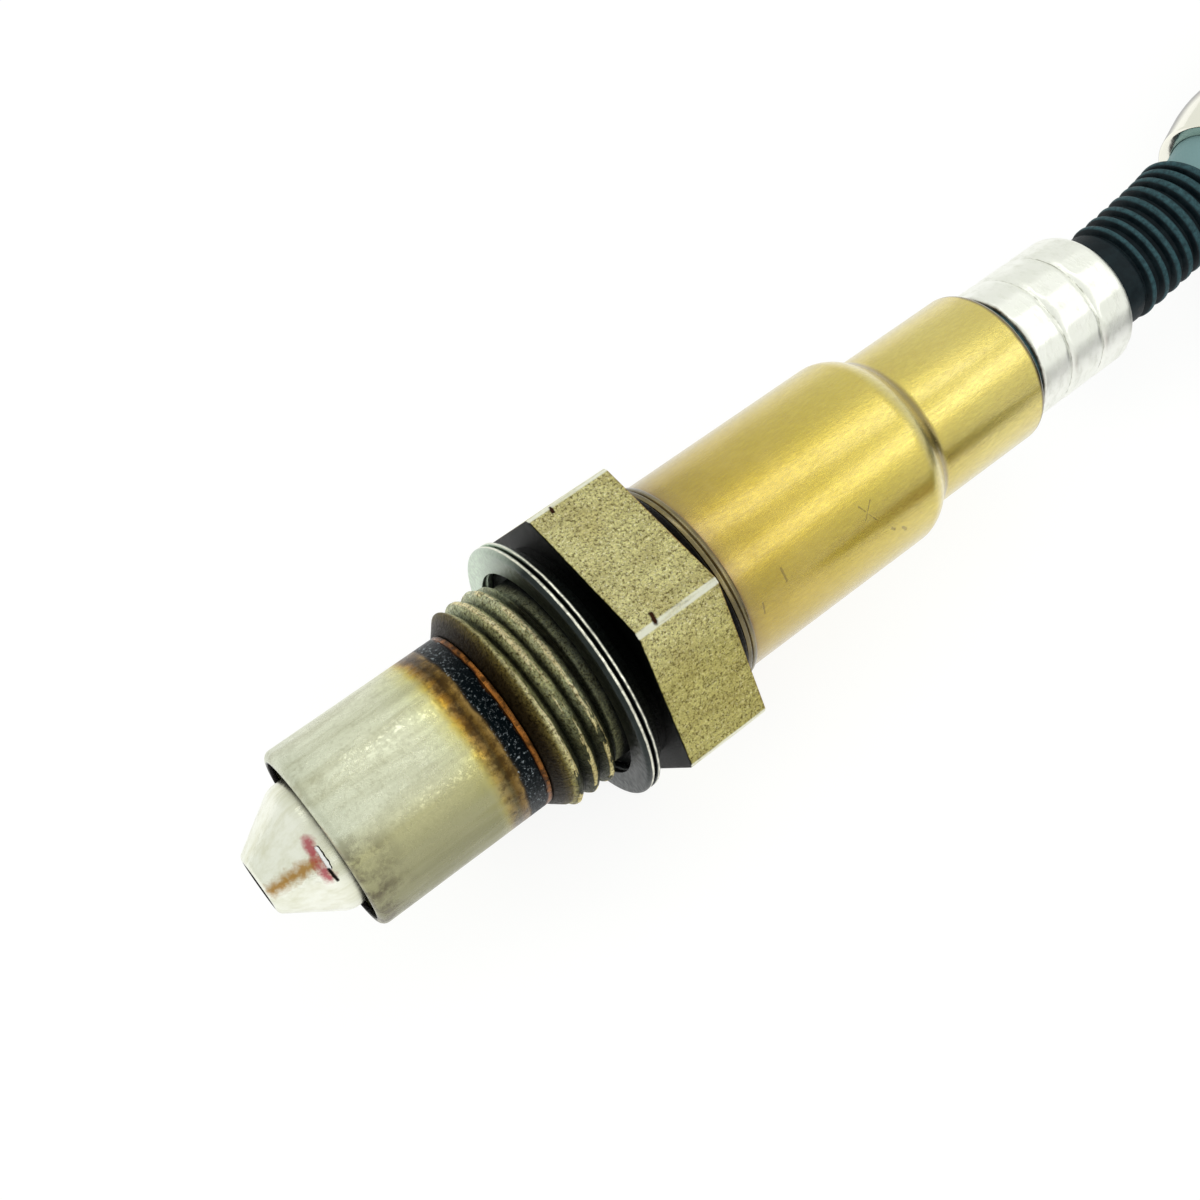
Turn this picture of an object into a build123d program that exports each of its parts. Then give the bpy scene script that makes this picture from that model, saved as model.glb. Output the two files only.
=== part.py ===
from build123d import *

import os
from math import cos, degrees, radians, sin, tan

os.makedirs("parts", exist_ok=True)

# Wide-band exhaust oxygen sensor, lying on one flat of its hexagon.
# The sensor's axis is X, with the tip towards -X and the lead towards +X. Z is up.
# The origin is on the axis, at the middle of the mounting thread. Millimetres throughout.

# ---------------------------------------------------------------- driving dimensions

# Shell: one turned and milled piece with the thread, the gasket seat and the hexagon.
THREAD_RADIUS = 9.0
THREAD_LENGTH = 3.9
LEAD_IN_LENGTH = 1.0
LEAD_IN_RADIUS = 7.77
UNDERCUT_RADIUS = 8.1
UNDERCUT_LENGTH = 1.15
RUN_OUT = 0.45
BOSS_RADIUS = 10.2
BOSS_LENGTH = 1.0
BOSS_EDGE = 0.25
NECK_RADIUS = 9.6
NECK_LENGTH = 0.85
HEX_ACROSS_FLATS = 22.0
HEX_TURNED_RADIUS = 12.58
HEX_LENGTH = 7.4
HEX_CORE_RADIUS = 10.6
COLLAR_RADIUS = 9.25
COLLAR_LENGTH = 1.4
FRONT_SPIGOT_LENGTH = 3.4
REAR_SPIGOT_LENGTH = 4.4
PASSAGE_RADIUS = 3.3
BORE_RADIUS = 4.65
SEAT_GAP = 0.02
FIT_GAP = 0.05

# Captive gasket: one steel strip, folded to and fro into three layers.
GASKET_OUTER_RADIUS = 11.3
GASKET_INNER_RADIUS = 9.2
GASKET_SHEET = 0.34
GASKET_PITCH = 0.42

# Nose: an outer tube with a rolled mouth, round a closed inner tube with a cone.
OUTER_TUBE_RADIUS = 7.6
OUTER_TUBE_WALL = 0.45
OUTER_TUBE_LENGTH = 15.4
MOUTH_RADIUS = 6.85
MOUTH_ROLL = 0.7
INNER_TUBE_RADIUS = 5.35
INNER_TUBE_WALL = 0.4
NOSE_STAND_OUT = 1.0
CONE_LENGTH = 4.3
CONE_TIP_RADIUS = 2.45
CONE_TIP_EDGE = 0.55
CONE_ROOT_EDGE = 0.5
TIP_HOLE_RADIUS = 1.15
GAS_HOLE_RADIUS = 0.7
GAS_HOLES = 6
GAS_HOLE_SETBACK = 3.2

# Sensing element and the stack that seals it in the shell.
ELEMENT_WIDTH = 4.2
ELEMENT_THICKNESS = 1.3
ELEMENT_LENGTH = 51.5
ELEMENT_SETBACK = 2.0
FRONT_GUIDE_LENGTH = 6.0
TALC_LENGTH = 5.0
REAR_GUIDE_LENGTH = 8.5

# Contact block behind the element.
HOLDER_RADIUS = 5.8
HOLDER_LENGTH = 12.0
HOLDER_OVERLAP = 11.5
HOLDER_SPLIT = 0.3
HOLDER_SLOT_HEIGHT = 2.35
CLAMP_THICKNESS = 0.4
CLAMP_LENGTH = 5.0
CLAMP_SETBACK = 3.5
CLAMP_SLOT_DEGREES = 40.0
CONTACT_SHEET = 0.2
CONTACT_WIDTH = 0.7
CONTACT_SETBACK = 0.8
CONTACT_LENGTH = 13.0
BARREL_LENGTH = 3.6
BARREL_WALL = 0.13
BARREL_OVERLAP = 0.6

# Five insulated wires: three over two.
WIRE_RADIUS = 0.65
WIRE_PITCH = 1.75
WIRE_ROW_HEIGHT = 1.35
WIRE_CLEARANCE = 0.03

# Protection sleeve, welded to the shell at its front and rolled in at its rear.
SLEEVE_RADIUS = 8.65
SLEEVE_WALL = 0.6
SLEEVE_LENGTH = 35.2
WELD_BEAD_RADIUS = 0.42
WELD_BEAD_LENGTH = 1.05
SHOULDER_START = 20.8
SHOULDER_LENGTH = 2.8
SHOULDER_LEAD = 0.5
SHOULDER_EDGE = 1.1
SHOULDER_FOOT = 0.6
SLEEVE_TAIL_RADIUS = 7.15
SLEEVE_ROLL = 0.75

# Grommet, boot and crimped collar.
GROMMET_LENGTH = 10.0
GROMMET_NECK_RADIUS = 3.4
GROMMET_NECK_LENGTH = 10.0
BOOT_FLANGE_RADIUS = 6.05
BOOT_ROOT_RADIUS = 5.5
BOOT_ROOT_BORE = 3.45
BOOT_BORE = 3.1
BOOT_PLAIN_RADIUS = 4.6
BOOT_CORE_RADIUS = 4.25
BOOT_CUFF_RADIUS = 3.6
BOOT_PLAIN_LENGTH = 3.6
RIB_COUNT = 8
RIB_RADIUS = 0.53
RIB_FIRST = 4.42
RIB_PITCH = 1.66
RIB_CLOSING = 0.045
COLLAR_GAP = 0.75
CRIMP_RADIUS = 6.3
CRIMP_WALL_THICKNESS = 0.7
CRIMP_COLLAR_LENGTH = 11.45
CRIMP_GROOVES = 2
CRIMP_FIRST_BAND = 3.5
CRIMP_GROOVE_PITCH = 3.9
CRIMP_GROOVE_RADIUS = 0.32
CRIMP_GROOVE_DEPTH = 0.2
CRIMP_FLATS = 8
CRIMP_FLAT_DEPTH = 0.12
CRIMP_REAR_EDGE = 0.9
CRIMP_MOUTH_GAP = 0.15

# Ferrule that holds the boot's cuff to the lead.
FERRULE_RADIUS = 4.75
FERRULE_REAR_RADIUS = 3.9
FERRULE_LENGTH = 8.1
FERRULE_CUFF_DEPTH = 3.4
FERRULE_EDGE = 0.35

# Lead, its put-away coil and the tie round it.
LEAD_RADIUS = 3.0
LEAD_CLEARANCE = 0.05
COIL_RADIUS = 31.0
COIL_LAYER = 6.02
COIL_LAYERS = 3
COIL_OPEN_DEGREES = 70.0
TIE_WIDTH = 3.6
TIE_THICKNESS = 1.1
TIE_HEAD_DEPTH = 3.4
TIE_HEAD_HEIGHT = 4.6
TIE_HEAD_WIDTH = 5.4
TIE_END_LENGTH = 5.0

# Connector at the end of the lead: a plain six-way housing.
PLUG_LENGTH = 18.0
PLUG_WIDTH = 18.0
PLUG_HEIGHT = 11.6
PLUG_EDGE = 1.4
SNOUT_LENGTH = 8.0
SNOUT_INSET = 1.6
SNOUT_EDGE = 1.0
SEAL_THICKNESS = 0.9
SEAL_LENGTH = 3.2
SEAL_GROOVE = 0.5
PORT_COLUMNS = 3
PORT_ROWS = 2
PORT_WIDTH = 2.2
PORT_HEIGHT = 1.8
PORT_DEPTH = 6.0
PORT_PITCH_ACROSS = 4.2
PORT_PITCH_UP = 3.6
TERMINAL_WIDTH = 1.6
TERMINAL_HEIGHT = 1.2
TERMINAL_SLOT = 0.7
LATCH_WIDTH = 7.0
LATCH_LENGTH = 15.0
LATCH_THICKNESS = 1.3
LATCH_LIFT = 1.2
LATCH_FOOT = 4.0
PLUG_GUARD_LENGTH = 4.6
PLUG_GUARD_RADIUS = 4.4

# ---------------------------------------------------------------- places along the axis

thread_front = -THREAD_LENGTH / 2
thread_rear = THREAD_LENGTH / 2
shell_front = thread_front - LEAD_IN_LENGTH
front_spigot_end = shell_front - FRONT_SPIGOT_LENGTH
gasket_front = thread_rear + UNDERCUT_LENGTH
gasket_rear = gasket_front + GASKET_SHEET + 2 * GASKET_PITCH
boss_front = gasket_rear + SEAT_GAP
boss_rear = boss_front + BOSS_LENGTH
hex_front = boss_rear + NECK_LENGTH
hex_rear = hex_front + HEX_LENGTH
collar_rear = hex_rear + COLLAR_LENGTH
rear_spigot_end = collar_rear + REAR_SPIGOT_LENGTH
floor = -HEX_ACROSS_FLATS / 2

sleeve_front = collar_rear + FIT_GAP
sleeve_rear = sleeve_front + SLEEVE_LENGTH
shoulder_front = sleeve_front + SHOULDER_START
shoulder_rear = shoulder_front + SHOULDER_LENGTH
sleeve_bore = SLEEVE_RADIUS - SLEEVE_WALL
tail_bore = SLEEVE_TAIL_RADIUS - SLEEVE_WALL
roll_bore = SLEEVE_TAIL_RADIUS - SLEEVE_ROLL

tube_rear = shell_front - SEAT_GAP
tube_mouth = tube_rear - OUTER_TUBE_LENGTH
tube_bore = OUTER_TUBE_RADIUS - OUTER_TUBE_WALL
front_spigot_radius = tube_bore - FIT_GAP
cone_root = tube_mouth - NOSE_STAND_OUT
cone_tip = cone_root - CONE_LENGTH
inner_flange_rear = front_spigot_end - SEAT_GAP

element_front = cone_root + ELEMENT_SETBACK
element_rear = element_front + ELEMENT_LENGTH
guide_seat = shell_front
talc_front = guide_seat + FRONT_GUIDE_LENGTH
talc_rear = talc_front + TALC_LENGTH
rear_guide_end = talc_rear + REAR_GUIDE_LENGTH

holder_front = element_rear - HOLDER_OVERLAP
holder_rear = holder_front + HOLDER_LENGTH
contact_rear = holder_front + CONTACT_LENGTH
wire_front = contact_rear + FIT_GAP

grommet_front = sleeve_rear - GROMMET_LENGTH
boot_front = sleeve_rear + SEAT_GAP
crimp_front = sleeve_rear + COLLAR_GAP
crimp_rear = crimp_front + CRIMP_COLLAR_LENGTH
boot_root_rear = crimp_rear - CRIMP_WALL_THICKNESS - FIT_GAP
grommet_neck_end = sleeve_rear + GROMMET_NECK_LENGTH

# The boot leaves the collar level, climbs, and then swings over to +Y.
boot_climb = 16.0
boot_swing = 21.0
boot_crest = 4.0
climb_corner = Vector(crimp_rear + 3.8, 0, 0)
climb_run = 10.63
climb_radius = 28.0
swing_radius = 20.0
cuff_run = 7.95

climb_way = Vector(cos(radians(boot_climb)), 0, sin(radians(boot_climb)))
swing_way = Vector(
    cos(radians(boot_crest)) * cos(radians(boot_swing)),
    cos(radians(boot_crest)) * sin(radians(boot_swing)),
    sin(radians(boot_crest)),
)
swing_corner = climb_corner + climb_way * climb_run
cuff_end = swing_corner + swing_way * cuff_run
ferrule_front = cuff_end - swing_way * FERRULE_CUFF_DEPTH
ferrule_rear = ferrule_front + swing_way * FERRULE_LENGTH
lead_start = cuff_end + swing_way * FIT_GAP

# ---------------------------------------------------------------- shell

with BuildPart() as sensor_shell:
    with BuildSketch(Plane.XY):
        with BuildLine():
            Polyline(
                (front_spigot_end, PASSAGE_RADIUS),
                (front_spigot_end, front_spigot_radius),
                (shell_front, front_spigot_radius),
                (shell_front, LEAD_IN_RADIUS),
                (thread_front, THREAD_RADIUS),
                (thread_rear, THREAD_RADIUS),
                (thread_rear + RUN_OUT, UNDERCUT_RADIUS),
                (boss_front, UNDERCUT_RADIUS),
                (boss_front, BOSS_RADIUS),
                (boss_rear - BOSS_EDGE, BOSS_RADIUS),
                (boss_rear, BOSS_RADIUS - BOSS_EDGE),
                (boss_rear, NECK_RADIUS),
                (hex_front, NECK_RADIUS),
                (hex_front, HEX_CORE_RADIUS),
                (hex_rear, HEX_CORE_RADIUS),
                (hex_rear, COLLAR_RADIUS),
                (collar_rear, COLLAR_RADIUS),
                (collar_rear, sleeve_bore - FIT_GAP),
                (rear_spigot_end, sleeve_bore - FIT_GAP),
                (rear_spigot_end, BORE_RADIUS),
                (guide_seat, BORE_RADIUS),
                (guide_seat, PASSAGE_RADIUS),
                close=True,
            )
        make_face()
    revolve(axis=Axis.X)
    with BuildSketch(Plane.YZ.offset(hex_front)):
        RegularPolygon(HEX_ACROSS_FLATS / 2, 6, major_radius=False)
        Circle(HEX_TURNED_RADIUS, mode=Mode.INTERSECT)
        Circle(HEX_CORE_RADIUS - 1.0, mode=Mode.SUBTRACT)
    extrude(amount=HEX_LENGTH)

sensor_shell.part.label = "sensor_shell"
export_step(sensor_shell.part, "parts/sensor_shell.step")

# ---------------------------------------------------------------- gasket

# Two slits part the three layers. The front one is closed by a fold at the outer edge and
# the rear one by a fold at the inner edge.
layer_gap = GASKET_PITCH - GASKET_SHEET
gasket_depth = gasket_rear - gasket_front
gasket_width = GASKET_OUTER_RADIUS - GASKET_INNER_RADIUS
front_slit = gasket_front + GASKET_SHEET + layer_gap / 2
rear_slit = front_slit + GASKET_PITCH
fold_edge = (GASKET_PITCH + GASKET_SHEET) / 2

with BuildPart() as folded_gasket:
    with BuildSketch(Plane.XY) as gasket_section:
        with Locations((gasket_front + gasket_depth / 2, GASKET_INNER_RADIUS + gasket_width / 2)):
            Rectangle(gasket_depth, gasket_width)
        with Locations((front_slit, GASKET_INNER_RADIUS + (gasket_width - GASKET_SHEET) / 2)):
            Rectangle(layer_gap, gasket_width - GASKET_SHEET, mode=Mode.SUBTRACT)
        with Locations((rear_slit, GASKET_OUTER_RADIUS - (gasket_width - GASKET_SHEET) / 2)):
            Rectangle(layer_gap, gasket_width - GASKET_SHEET, mode=Mode.SUBTRACT)
        outer_corners = gasket_section.vertices().filter_by(
            lambda v: v.Y > GASKET_OUTER_RADIUS - 0.01 and v.X < rear_slit
        )
        inner_corners = gasket_section.vertices().filter_by(
            lambda v: v.Y < GASKET_INNER_RADIUS + 0.01 and v.X > front_slit
        )
        fillet(outer_corners + inner_corners, radius=fold_edge * 0.95)
    revolve(axis=Axis.X)

folded_gasket.part.label = "folded_gasket"
export_step(folded_gasket.part, "parts/folded_gasket.step")

# ---------------------------------------------------------------- nose

roll_inner = MOUTH_ROLL - OUTER_TUBE_WALL

with BuildPart() as outer_protection_tube:
    with BuildSketch(Plane.XY):
        with BuildLine():
            FilletPolyline(
                (tube_mouth, MOUTH_RADIUS),
                (tube_mouth, OUTER_TUBE_RADIUS),
                (tube_rear, OUTER_TUBE_RADIUS),
                (tube_rear, tube_bore),
                (tube_mouth + OUTER_TUBE_WALL, tube_bore),
                (tube_mouth + OUTER_TUBE_WALL, MOUTH_RADIUS),
                radius=[0, MOUTH_ROLL, 0, 0, roll_inner, 0],
                close=True,
            )
        make_face()
    revolve(axis=Axis.X)

outer_protection_tube.part.label = "outer_protection_tube"
export_step(outer_protection_tube.part, "parts/outer_protection_tube.step")

inner_bore = INNER_TUBE_RADIUS - INNER_TUBE_WALL
inner_tip_radius = CONE_TIP_RADIUS - INNER_TUBE_WALL * 0.75
gas_hole_place = inner_flange_rear - GAS_HOLE_SETBACK

with BuildPart() as inner_protection_tube:
    with BuildSketch(Plane.XY):
        with BuildLine():
            FilletPolyline(
                (cone_tip, TIP_HOLE_RADIUS),
                (cone_tip, CONE_TIP_RADIUS),
                (cone_root, INNER_TUBE_RADIUS),
                (inner_flange_rear - INNER_TUBE_WALL, INNER_TUBE_RADIUS),
                (inner_flange_rear - INNER_TUBE_WALL, front_spigot_radius),
                (inner_flange_rear, front_spigot_radius),
                (inner_flange_rear, inner_bore),
                (cone_root + INNER_TUBE_WALL * 0.4, inner_bore),
                (cone_tip + INNER_TUBE_WALL, inner_tip_radius),
                (cone_tip + INNER_TUBE_WALL, TIP_HOLE_RADIUS),
                radius=[0, CONE_TIP_EDGE, CONE_ROOT_EDGE, 0.3, 0, 0, 0, 0, 0.2, 0],
                close=True,
            )
        make_face()
    revolve(axis=Axis.X)
    for step in range(GAS_HOLES // 2):
        hole_plane = Plane(
            (gas_hole_place, 0, 0),
            x_dir=(1, 0, 0),
            z_dir=(0, cos(radians(180 * 2 * step / GAS_HOLES)), sin(radians(180 * 2 * step / GAS_HOLES))),
        )
        with BuildSketch(hole_plane):
            Circle(GAS_HOLE_RADIUS)
        extrude(amount=INNER_TUBE_RADIUS + 1, both=True, mode=Mode.SUBTRACT)

inner_protection_tube.part.label = "inner_protection_tube"
export_step(inner_protection_tube.part, "parts/inner_protection_tube.step")

# ---------------------------------------------------------------- element and its seal

slot_width = ELEMENT_WIDTH + 2 * FIT_GAP
slot_height = ELEMENT_THICKNESS + 2 * FIT_GAP
guide_radius = BORE_RADIUS - FIT_GAP

with BuildPart() as sensing_element:
    with BuildSketch(Plane.YZ.offset(element_front)):
        RectangleRounded(ELEMENT_WIDTH, ELEMENT_THICKNESS, 0.15)
    extrude(amount=ELEMENT_LENGTH)

sensing_element.part.label = "sensing_element"
export_step(sensing_element.part, "parts/sensing_element.step")

with BuildPart() as front_ceramic_guide:
    with BuildSketch(Plane.YZ.offset(guide_seat)):
        Circle(guide_radius)
        Rectangle(slot_width, slot_height, mode=Mode.SUBTRACT)
    extrude(amount=FRONT_GUIDE_LENGTH)

front_ceramic_guide.part.label = "front_ceramic_guide"
export_step(front_ceramic_guide.part, "parts/front_ceramic_guide.step")

with BuildPart() as talc_seal:
    with BuildSketch(Plane.YZ.offset(talc_front)):
        Circle(guide_radius)
        Rectangle(slot_width, slot_height, mode=Mode.SUBTRACT)
    extrude(amount=TALC_LENGTH)

talc_seal.part.label = "talc_seal"
export_step(talc_seal.part, "parts/talc_seal.step")

with BuildPart() as rear_ceramic_guide:
    with BuildSketch(Plane.YZ.offset(talc_rear)):
        Circle(guide_radius)
        Rectangle(slot_width, slot_height, mode=Mode.SUBTRACT)
    extrude(amount=REAR_GUIDE_LENGTH)
    rear_edge = rear_ceramic_guide.edges().filter_by(GeomType.CIRCLE).sort_by(Axis.X)[-1]
    chamfer(rear_edge, length=0.6)

rear_ceramic_guide.part.label = "rear_ceramic_guide"
export_step(rear_ceramic_guide.part, "parts/rear_ceramic_guide.step")

# ---------------------------------------------------------------- contact block

barrel_bore = WIRE_RADIUS + WIRE_CLEARANCE * 2
barrel_radius = barrel_bore + BARREL_WALL
contact_places = [
    (-WIRE_PITCH, 1),
    (0, 1),
    (WIRE_PITCH, 1),
    (-WIRE_PITCH * 0.6, -1),
    (WIRE_PITCH * 0.6, -1),
]
upper_places = [(y, WIRE_ROW_HEIGHT) for y, row in contact_places if row > 0]
lower_places = [(y, -WIRE_ROW_HEIGHT) for y, row in contact_places if row < 0]

with BuildPart() as holder_upper:
    with BuildSketch(Plane.YZ.offset(holder_front)):
        Circle(HOLDER_RADIUS)
        with Locations((0, HOLDER_SPLIT / 2 - HOLDER_RADIUS)):
            Rectangle(2 * HOLDER_RADIUS, 2 * HOLDER_RADIUS, mode=Mode.SUBTRACT)
        Rectangle(slot_width, slot_height, mode=Mode.SUBTRACT)
        with Locations([(y, HOLDER_SLOT_HEIGHT / 2) for y, z in upper_places]):
            Rectangle(CONTACT_WIDTH + 2 * FIT_GAP, HOLDER_SLOT_HEIGHT, mode=Mode.SUBTRACT)
    extrude(amount=HOLDER_LENGTH)

holder_upper.part.label = "holder_upper"
export_step(holder_upper.part, "parts/holder_upper.step")

with BuildPart() as holder_lower:
    with BuildSketch(Plane.YZ.offset(holder_front)):
        Circle(HOLDER_RADIUS)
        with Locations((0, HOLDER_RADIUS - HOLDER_SPLIT / 2)):
            Rectangle(2 * HOLDER_RADIUS, 2 * HOLDER_RADIUS, mode=Mode.SUBTRACT)
        Rectangle(slot_width, slot_height, mode=Mode.SUBTRACT)
        with Locations([(y, -HOLDER_SLOT_HEIGHT / 2) for y, z in lower_places]):
            Rectangle(CONTACT_WIDTH + 2 * FIT_GAP, HOLDER_SLOT_HEIGHT, mode=Mode.SUBTRACT)
    extrude(amount=HOLDER_LENGTH)

holder_lower.part.label = "holder_lower"
export_step(holder_lower.part, "parts/holder_lower.step")

clamp_bore = HOLDER_RADIUS + FIT_GAP
clamp_mouth = 2 * clamp_bore * tan(radians(CLAMP_SLOT_DEGREES / 2))

with BuildPart() as holder_clamp:
    with BuildSketch(Plane.YZ.offset(holder_front + CLAMP_SETBACK)):
        Circle(clamp_bore + CLAMP_THICKNESS)
        Circle(clamp_bore, mode=Mode.SUBTRACT)
        with Locations((clamp_bore, 0)):
            Rectangle(2 * CLAMP_THICKNESS + 2, clamp_mouth, mode=Mode.SUBTRACT)
    extrude(amount=CLAMP_LENGTH)

holder_clamp.part.label = "holder_clamp"
export_step(holder_clamp.part, "parts/holder_clamp.step")

# Each contact is a bowed strip that presses on the element, and a barrel crimped on a wire.
contact_front = holder_front + CONTACT_SETBACK
barrel_front = contact_rear - BARREL_OVERLAP
press_height = ELEMENT_THICKNESS / 2 + SEAT_GAP + CONTACT_SHEET / 2
strip_height = WIRE_ROW_HEIGHT + barrel_radius - CONTACT_SHEET / 2
for number, (y, row) in enumerate(contact_places, start=1):
    with BuildPart() as contact_spring:
        with BuildSketch(Plane.XZ.offset(-y)):
            with BuildLine() as bow:
                FilletPolyline(
                    (contact_front, row * (press_height + 0.7)),
                    (contact_front + 2.4, row * press_height),
                    (contact_front + 5.4, row * press_height),
                    (contact_front + 8.2, row * strip_height),
                    (contact_rear, row * strip_height),
                    radius=1.0,
                )
            trace(bow.line, line_width=CONTACT_SHEET)
        extrude(amount=CONTACT_WIDTH / 2, both=True)
        with BuildSketch(Plane.YZ.offset(barrel_front)):
            with Locations((y, row * WIRE_ROW_HEIGHT)):
                Circle(barrel_radius)
                Circle(barrel_bore, mode=Mode.SUBTRACT)
        extrude(amount=BARREL_LENGTH)
    contact_spring.part.label = f"contact_spring_{number}"
    export_step(contact_spring.part, f"parts/contact_spring_{number}.step")

# ---------------------------------------------------------------- sleeve

slope_front = shoulder_front + SHOULDER_LEAD
slope_rear = shoulder_rear - SHOULDER_LEAD
shoulder_turn = Vector(slope_rear - slope_front, SLEEVE_RADIUS - SLEEVE_TAIL_RADIUS, 0)
wall_shift = SLEEVE_WALL * (shoulder_turn.length - shoulder_turn.X) / shoulder_turn.Y
bead_middle = sleeve_front + WELD_BEAD_LENGTH / 2

with BuildPart() as protection_sleeve:
    with BuildSketch(Plane.XY):
        with BuildLine():
            FilletPolyline(
                (sleeve_front, sleeve_bore),
                (sleeve_front, SLEEVE_RADIUS),
                (slope_front, SLEEVE_RADIUS),
                (slope_rear, SLEEVE_TAIL_RADIUS),
                (sleeve_rear, SLEEVE_TAIL_RADIUS),
                (sleeve_rear, roll_bore),
                (sleeve_rear - SLEEVE_WALL, roll_bore),
                (sleeve_rear - SLEEVE_WALL - 0.3, tail_bore),
                (slope_rear - wall_shift, tail_bore),
                (slope_front - wall_shift, sleeve_bore),
                radius=[0, 0, SHOULDER_EDGE, SHOULDER_FOOT, SLEEVE_ROLL, 0, 0, 0, SHOULDER_FOOT, 0.5],
                close=True,
            )
        make_face()
        with BuildLine():
            ThreePointArc(
                (bead_middle - WELD_BEAD_LENGTH / 2, SLEEVE_RADIUS),
                (bead_middle, SLEEVE_RADIUS + WELD_BEAD_RADIUS),
                (bead_middle + WELD_BEAD_LENGTH / 2, SLEEVE_RADIUS),
            )
            Line(
                (bead_middle + WELD_BEAD_LENGTH / 2, SLEEVE_RADIUS),
                (bead_middle - WELD_BEAD_LENGTH / 2, SLEEVE_RADIUS),
            )
        make_face()
    revolve(axis=Axis.X)

protection_sleeve.part.label = "protection_sleeve"
export_step(protection_sleeve.part, "parts/protection_sleeve.step")

# ---------------------------------------------------------------- grommet and collar

grommet_radius = roll_bore - FIT_GAP

with BuildPart() as grommet:
    with BuildSketch(Plane.XY):
        Polygon(
            (grommet_front, 0),
            (grommet_front, grommet_radius - 0.6),
            (grommet_front + 0.6, grommet_radius),
            (sleeve_rear, grommet_radius),
            (sleeve_rear, GROMMET_NECK_RADIUS),
            (grommet_neck_end, GROMMET_NECK_RADIUS),
            (grommet_neck_end, 0),
            align=None,
        )
    revolve(axis=Axis.X)
    with BuildSketch(Plane.YZ.offset(grommet_front)):
        with Locations(upper_places + lower_places):
            Circle(WIRE_RADIUS + WIRE_CLEARANCE)
    extrude(amount=GROMMET_LENGTH + GROMMET_NECK_LENGTH, mode=Mode.SUBTRACT)

grommet.part.label = "grommet"
export_step(grommet.part, "parts/grommet.step")

# The collar's outline steps down in a groove between each band and the next.
crimp_bore = BOOT_ROOT_RADIUS + FIT_GAP
crimp_mouth = BOOT_PLAIN_RADIUS + CRIMP_MOUTH_GAP
groove_half = CRIMP_GROOVE_RADIUS + CRIMP_GROOVE_DEPTH * 0.4
groove_floor = CRIMP_RADIUS - CRIMP_GROOVE_DEPTH
outline = [(crimp_front, crimp_bore), (crimp_front, CRIMP_RADIUS)]
outline_edges = [0, 0.35]
for count in range(CRIMP_GROOVES):
    groove = crimp_front + CRIMP_FIRST_BAND + count * CRIMP_GROOVE_PITCH
    outline += [
        (groove - groove_half, CRIMP_RADIUS),
        (groove, groove_floor),
        (groove + groove_half, CRIMP_RADIUS),
    ]
    outline_edges += [0, 0, 0]
outline += [
    (crimp_rear, CRIMP_RADIUS),
    (crimp_rear, crimp_mouth),
    (crimp_rear - CRIMP_WALL_THICKNESS, crimp_mouth),
    (crimp_rear - CRIMP_WALL_THICKNESS, crimp_bore),
]
outline_edges += [CRIMP_REAR_EDGE, 0, 0, 0]

with BuildPart() as crimp_collar:
    with BuildSketch(Plane.XY):
        with BuildLine():
            FilletPolyline(*outline, radius=outline_edges, close=True)
        make_face()
    revolve(axis=Axis.X)
    with BuildSketch(Plane.YZ.offset(crimp_front)):
        Circle(CRIMP_RADIUS + 1)
        RegularPolygon(
            CRIMP_RADIUS - CRIMP_FLAT_DEPTH,
            CRIMP_FLATS,
            major_radius=False,
            rotation=180 / CRIMP_FLATS,
            mode=Mode.SUBTRACT,
        )
    extrude(amount=CRIMP_COLLAR_LENGTH, mode=Mode.SUBTRACT)

crimp_collar.part.label = "crimp_collar"
export_step(crimp_collar.part, "parts/crimp_collar.step")

# ---------------------------------------------------------------- ribbed boot

# The boot's middle line starts inside the collar. The core, with its ribs, covers the first
# part of it, and the plain cuff covers the rest.
boot_start = Vector(boot_root_rear, 0, 0)
rib_offset = crimp_rear - boot_root_rear
rib_places = [RIB_FIRST + RIB_PITCH * i - RIB_CLOSING * i * i for i in range(RIB_COUNT)]

with BuildLine() as boot_route:
    FilletPolyline(
        boot_start,
        climb_corner,
        swing_corner,
        cuff_end,
        radius=[climb_radius, swing_radius],
    )

boot_way = boot_route.wire()
neck_share = (rib_offset + BOOT_PLAIN_LENGTH) / boot_way.length
core_share = (rib_offset + rib_places[-1] + RIB_RADIUS + 0.1) / boot_way.length
neck_way = boot_way.trim(0, neck_share)
core_way = boot_way.trim(0, core_share)

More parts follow.
